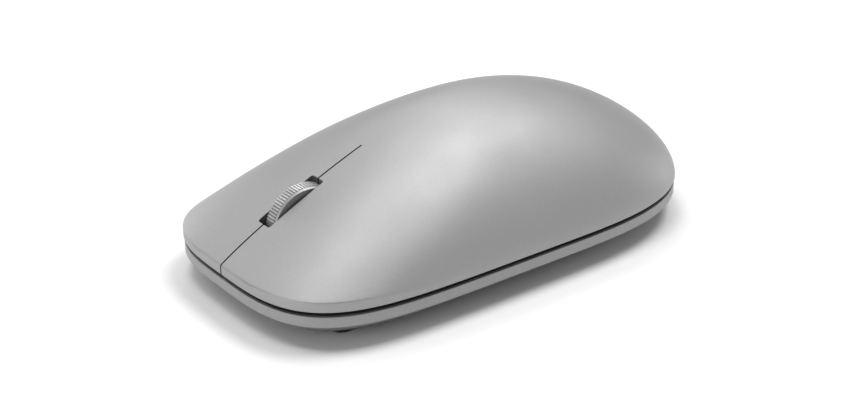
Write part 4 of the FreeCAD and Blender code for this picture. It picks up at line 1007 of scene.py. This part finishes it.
def make_materials(f):
    """Every finish of the object, by name."""
    return {
        # Sprayed silver-pearl paint, satin: a soft, wide highlight and no mirror. Its inside and the walls of
        # its slit and slot take the black plastic colour as painted shade.
        "shell": painted("pearl_paint_satin_on_abs", f.shell, f.dark,
                         {"Roughness": 0.54, "Metallic": 0.55, "IOR": 1.5},
                         (0.10, 0.05, 0.01), (0.09, f.shell_flake)),
        # Silver-grey ABS, moulded in a spark-eroded tool and lacquered: a fine matt grain. Its undercut and
        # floor take the darker underside grey as painted shade.
        "base": painted("abs_lacquered_silver_grey", f.base, f.underside,
                        {"Roughness": 0.5, "Metallic": 0.35, "IOR": 1.54},
                        (0.15, 0.10, 0.01), (0.5, f.base_mottle)),
        # Black ABS, moulded: dark with a dull shine.
        "dark": material("abs_moulded_black", f.dark, {"Roughness": 0.5, "IOR": 1.54}, (0.2, 0.1, 0.01)),
        # Bright nickel-plated metal with a fine turned finish. The tyre's sides and the grooves of its tread
        # take the darker wheel grey as painted shade.
        "metal": painted("nickel_plated_steel_turned", f.metal, f.wheel_shade_and_hub,
                         {"Roughness": 0.4, "Metallic": 1.0}, (0.08, 0.03, 0.01), (0.2, f.metal)),
        # Dark grey nylon with glass fibre, moulded: the wheel's hub.
        "hub": material("nylon_moulded_dark_grey", f.wheel_shade_and_hub, {"Roughness": 0.5, "IOR": 1.53},
                        (0.2, 0.08, 0.01)),
        # Skived PTFE sheet, dyed dark: waxy and smooth.
        "foot": material("ptfe_sheet_dark", f.foot, {"Roughness": 0.35, "IOR": 1.38}, (0.3, 0.08, 0.01)),
        # Natural acetal, moulded: off-white and waxy.
        "acetal": material("acetal_moulded_natural", f.acetal, {"Roughness": 0.4, "IOR": 1.48},
                           (0.3, 0.06, 0.01)),
        # Polycarbonate, moulded clear.
        "clear": material("polycarbonate_clear", f.clear,
                          {"Roughness": 0.06, "IOR": 1.58, "Transmission Weight": 0.9}),
        # Glass-epoxy board under green solder mask.
        "board": material("solder_mask_green", f.board, {"Roughness": 0.35, "IOR": 1.5},
                          (0.4, 0.15, 0.02), (1.2, f.board_tone)),
        # Moulded epoxy chip packages.
        "chip": material("epoxy_moulded_black", f.chip, {"Roughness": 0.6, "IOR": 1.55}, (0.1, 0.2, 0.01)),
        # Nickel-plated spring wire and sheet.
        "nickel": material("nickel_plated_sheet", f.nickel, {"Roughness": 0.3, "Metallic": 1.0},
                           (0.15, 0.05, 0.01)),
        # Printed foil sleeve over a steel can, whose ends are left bare.
        "cell": painted("foil_sleeve_on_steel_can", f.sleeve, f.metal, {"Roughness": 0.3, "Metallic": 0.4},
                        (0.5, 0.05, 0.01), (1.5, f.sleeve_tone), 1.0),
        # Zinc-plated steel.
        "zinc": material("zinc_plated_steel", f.zinc, {"Roughness": 0.38, "Metallic": 1.0}, (0.2, 0.1, 0.01)),
    }


FINISH_OF_SLOT = {
    "shell_grey": "shell", "base_grey": "base", "dark_plastic": "dark", "wheel_metal": "metal",
    "white_plastic": "acetal", "clear_plastic": "clear", "board_green": "board", "chip_black": "chip",
    "spring_steel": "nickel", "contact_metal": "nickel", "cell_label": "cell", "foot_ptfe": "foot",
    "screw_steel": "zinc",
}
SLOT_OF_NODE = {part["node"]: part["material_slot"] for part in frame["record"]["subparts"]}
MATERIALS = {}  # filled by the finishes step


def dress(piece, node, finish=None):
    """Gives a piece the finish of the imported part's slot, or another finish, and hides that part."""
    slot = SLOT_OF_NODE[node]
    piece.data.materials.clear()
    piece.data.materials.append(MATERIALS[finish or FINISH_OF_SLOT[slot]])
    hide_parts(node)


def mark_bare_or_shade(piece, is_bare_or_shade):
    """Marks the faces that a test picks for the second colour: uncoated material on some parts, painted shade
    on others.
    """
    mark_faces(piece, [float(is_bare_or_shade(polygon)) for polygon in piece.data.polygons])


def refined(node, body, width, finish=None, degrees=30, is_bare_or_shade=None):
    """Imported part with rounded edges, riding its body."""
    piece = softened(node, f"{node}_skin", width, degrees)
    if is_bare_or_shade:
        mark_bare_or_shade(piece, is_bare_or_shade)
    dress(piece, node, finish)
    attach(piece, body)
    return piece


def toward(azimuth, elevation):
    """Unit vector from the object, in degrees round from the front and up from the desk."""
    a, e = math.radians(azimuth), math.radians(elevation)
    return Vector((math.sin(a) * math.cos(e), -math.cos(a) * math.cos(e), math.sin(e)))


# ---------------------------------------------------------------- operators
class MOUSE_OT_finishes(bpy.types.Operator):
    """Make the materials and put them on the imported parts"""

    bl_idname = "mouse.finishes"
    bl_label = "Finishes"

    def execute(self, context):
        MATERIALS.update(make_materials(context.scene.mouse_finishes))
        for node, packed in frame["nodes"].items():
            packed.data.materials.clear()
            packed.data.materials.append(MATERIALS[FINISH_OF_SLOT[SLOT_OF_NODE[node]]])
        return {"FINISHED"}


class MOUSE_OT_top_shell(bpy.types.Operator):
    """Build the palm cover and the two buttons as one seamless slit shell"""

    bl_idname = "mouse.top_shell"
    bl_label = "Top shell"

    def execute(self, context):
        s = context.scene.mouse_shell
        palm = palm_piece(s, "palm_skin")
        dress(palm, "palm_cover")
        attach(palm, "housing")
        for side, node in ((1, "left_button"), (-1, "right_button")):
            piece = button_piece(s, f"{node}_skin", side)
            dress(piece, node)
            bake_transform(piece)
        return {"FINISHED"}


class MOUSE_OT_base(bpy.types.Operator):
    """Build the base shell with the openings in its floor"""

    bl_idname = "mouse.base"
    bl_label = "Base shell"

    def execute(self, context):
        s, b = context.scene.mouse_shell, context.scene.mouse_base
        base = base_piece(s, b, "base_skin")
        through = b.floor_z + b.floor + 1 * MM
        middle_y, door_long = (b.door_front_y + b.door_rear_y) / 2, b.door_rear_y - b.door_front_y
        door = stadium(0, middle_y, door_long, 2 * b.door_half, b.door_corner)
        # the front corners of the opening are square
        door[door[:, 1] < b.door_front_y + b.door_corner, 1] = b.door_front_y
        cut_opening(base, door, b.floor_z, through, b.gap)
        cone = stadium(0, b.aperture_y, 2 * b.aperture_r, 2 * b.aperture_r, b.aperture_r, 16)
        cut_opening(base, cone, b.floor_z, through, b.aperture_flare)
        dish = stadium(b.control_x, b.aperture_y, b.dish_long, b.dish_wide, b.dish_wide / 2)
        cut_opening(base, dish, b.floor_z, b.floor_z + b.dish_depth, b.mouth)
        slot = stadium(b.control_x, b.aperture_y, b.slot_long, b.slot_wide, b.gap)
        cut_opening(base, slot, b.floor_z, through, 0.0)
        for node, flange in (("pair_button", PAIR_FLANGE), ("status_light", STATUS_COLLAR)):
            low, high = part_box(node)
            wide = high.x - low.x - 2 * flange + 2 * b.gap
            hole = stadium((low.x + high.x) / 2, (low.y + high.y) / 2, wide, wide, wide / 2, 12)
            cut_opening(base, hole, b.floor_z, through, b.mouth)
        for node in FEET:
            low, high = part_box(node)
            wide, long = high.x - low.x + 2 * b.gap, high.y - low.y + 2 * b.gap
            hollow = stadium((low.x + high.x) / 2, (low.y + high.y) / 2, long, wide, wide / 2, 16)
            cut_opening(base, hollow, b.floor_z, b.floor_z + b.recess, b.gap)
        sharp_by_angle(base, 28)
        # painted shade: the undercut and the floor below the band's foot take the darker underside grey
        mark_bare_or_shade(base, lambda polygon: polygon.center.z < b.band_z - b.crease)
        dress(base, "base_shell")
        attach(base, "housing")
        refined("chassis_ring", "housing", 0.0)
        return {"FINISHED"}


class MOUSE_OT_underside(bpy.types.Operator):
    """Finish the battery door, the controls and the feet"""

    bl_idname = "mouse.underside"
    bl_label = "Underside"

    def execute(self, context):
        # painted shade: the battery door takes its finish's darker second colour all over, like the base's
        # floor
        refined("battery_door", "door", 0.1 * MM, is_bare_or_shade=lambda polygon: True)
        for node in ("battery_left", "battery_right"):
            refined(node, "housing", 0.0, is_bare_or_shade=lambda polygon: abs(polygon.normal.y) > 0.3)
        refined("power_slider", "slider", 0.06 * MM)
        refined("pair_button", "pair", 0.12 * MM)
        for node in FEET:
            refined(node, "housing", 0.0, degrees=60)
        return {"FINISHED"}


class MOUSE_OT_wheel(bpy.types.Operator):
    """Build the ribbed metal wheel and its hub"""

    bl_idname = "mouse.wheel"
    bl_label = "Scroll wheel"

    def execute(self, context):
        w = context.scene.mouse_wheel
        centre = (TYRE_LOW + TYRE_HIGH) / 2
        half, root = w.width / 2, w.radius - w.rib_depth
        inner = w.radius - w.wall
        tread = half - w.chamfer
        profile = [(-half, root - w.chamfer), (-tread, root), (tread, root), (half, root - w.chamfer),
                   (half, inner), (-half, inner)]
        tyre = lathe("wheel_tyre_skin", profile, centre)
        dress(tyre, "wheel_tyre")
        # painted shade: the tyre's flat sides and the faces between its ribs take the darker wheel grey
        mark_bare_or_shade(tyre, lambda polygon: abs(polygon.normal.x) > 0.99 or abs(polygon.normal.x) < 0.01)
        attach(tyre, "wheel")
        ribs = from_nodes("wheel_ribs", rib_nodes(), {
            "Count": w.ribs, "Radius": w.radius - (w.rib_depth + w.rib_root) / 2, "Long": 2 * tread,
            "Tall": w.rib_depth + w.rib_root, "Wide": 2 * math.pi * w.radius / w.ribs * w.rib_share,
            "Finish": MATERIALS["metal"]})
        ribs.data.transform(Matrix.Translation(centre))
        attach(ribs, "wheel")
        refined("wheel_hub", "wheel", 0.05 * MM, "hub")
        refined("wheel_cradle", "cradle", 0.1 * MM)
        # the spring rides the housing on a mesh of its own
        spring = refined("wheel_spring", "housing", 0.0)
        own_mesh(spring)
        return {"FINISHED"}


class MOUSE_OT_stage(bpy.types.Operator):
    """Lay the pale floor and set the lights and the camera"""

    bl_idname = "mouse.stage"
    bl_label = "Stage"

    def execute(self, context):
        scene, cam, lamps = context.scene, context.scene.mouse_camera, context.scene.mouse_lights
        bpy.ops.mesh.primitive_plane_add(size=FLOOR_SIZE, location=(0, 0, 0))
        floor = context.object
        floor.name = "studio_floor"
        floor.data.materials.append(material(
            "studio_paper_white", scene.mouse_finishes.backdrop, {"Roughness": 0.9}, (2.0, 0.05, 0.05)))
        floor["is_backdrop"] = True
        world = bpy.data.worlds.new("studio")
        scene.world = world
        world.use_nodes = True
        sky = world.node_tree.nodes["Background"]
        sky.inputs["Color"].default_value = (1, 1, 1, 1)
        sky.inputs["Strength"].default_value = lamps.sky
        for name, azimuth, elevation, wide, share in SOFT_BOXES:
            place = toward(azimuth, elevation) * lamps.distance
            lamp = bpy.data.lights.new(name, "AREA")
            lamp.shape, lamp.size = "DISK", wide
            lamp.energy = math.pi * lamps.distance**2 * share * lamps.strength
            holder = bpy.data.objects.new(name, lamp)
            holder.location = place
            holder.rotation_euler = (-place).to_track_quat("-Z", "Y").to_euler()
            scene.collection.objects.link(holder)
        az = math.radians(cam.azimuth)
        back = toward(cam.azimuth, cam.elevation)
        right = Vector((math.cos(az), math.sin(az), 0))
        turn = Matrix.Rotation(math.radians(cam.roll), 3, back)
        right, up = turn @ right, turn @ back.cross(right)
        data = bpy.data.cameras.new("main")
        data.lens, data.sensor_width = cam.lens, SENSOR_MM
        data.shift_x, data.shift_y = cam.shift_x, cam.shift_y
        data.clip_start, data.clip_end = 0.01, 20
        camera = bpy.data.objects.new("main", data)
        axes = Matrix((right, up, back)).transposed().to_4x4()
        camera.matrix_world = Matrix.Translation(Vector((0, 0, cam.aim_z)) + back * cam.distance) @ axes
        scene.collection.objects.link(camera)
        scene.camera = camera
        scene.view_settings.view_transform = "Standard"
        return {"FINISHED"}


class MOUSE_PT_panel(bpy.types.Panel):
    """Sidebar panel that lists the sizes and the steps"""

    bl_label = "Low Wireless Mouse"
    bl_idname = "MOUSE_PT_panel"
    bl_space_type = "VIEW_3D"
    bl_region_type = "UI"
    bl_category = TAB

    def draw(self, context):
        for step in STEPS:
            self.layout.operator(step.bl_idname)
        for group, _ in GROUPS:
            box = self.layout.box()
            values = getattr(context.scene, group)
            for key in values.__annotations__:
                box.prop(values, key)


STEPS = (
    MOUSE_OT_finishes, MOUSE_OT_top_shell, MOUSE_OT_base, MOUSE_OT_underside, MOUSE_OT_wheel, MOUSE_OT_stage,
)
GROUPS = (
    ("mouse_shell", MouseShellSizes), ("mouse_base", MouseBaseSizes), ("mouse_wheel", MouseWheelSizes),
    ("mouse_finishes", MouseFinishes), ("mouse_lights", MouseLights), ("mouse_camera", MouseCamera),
)


def register():
    """Register the property groups, the operators and the panel."""
    for key, group in GROUPS:
        bpy.utils.register_class(group)
        setattr(bpy.types.Scene, key, PointerProperty(type=group))
    for part in (*STEPS, MOUSE_PT_panel):
        bpy.utils.register_class(part)


def unregister():
    """Remove everything that register added."""
    for part in (MOUSE_PT_panel, *reversed(STEPS)):
        bpy.utils.unregister_class(part)
    for key, group in reversed(GROUPS):
        delattr(bpy.types.Scene, key)
        bpy.utils.unregister_class(group)


def main():
    """Build the whole object and its stage."""
    register()
    bpy.ops.mouse.finishes()
    bpy.ops.mouse.top_shell()
    bpy.ops.mouse.base()
    bpy.ops.mouse.underside()
    bpy.ops.mouse.wheel()
    bpy.ops.mouse.stage()


if __name__ == "__main__":
    main()
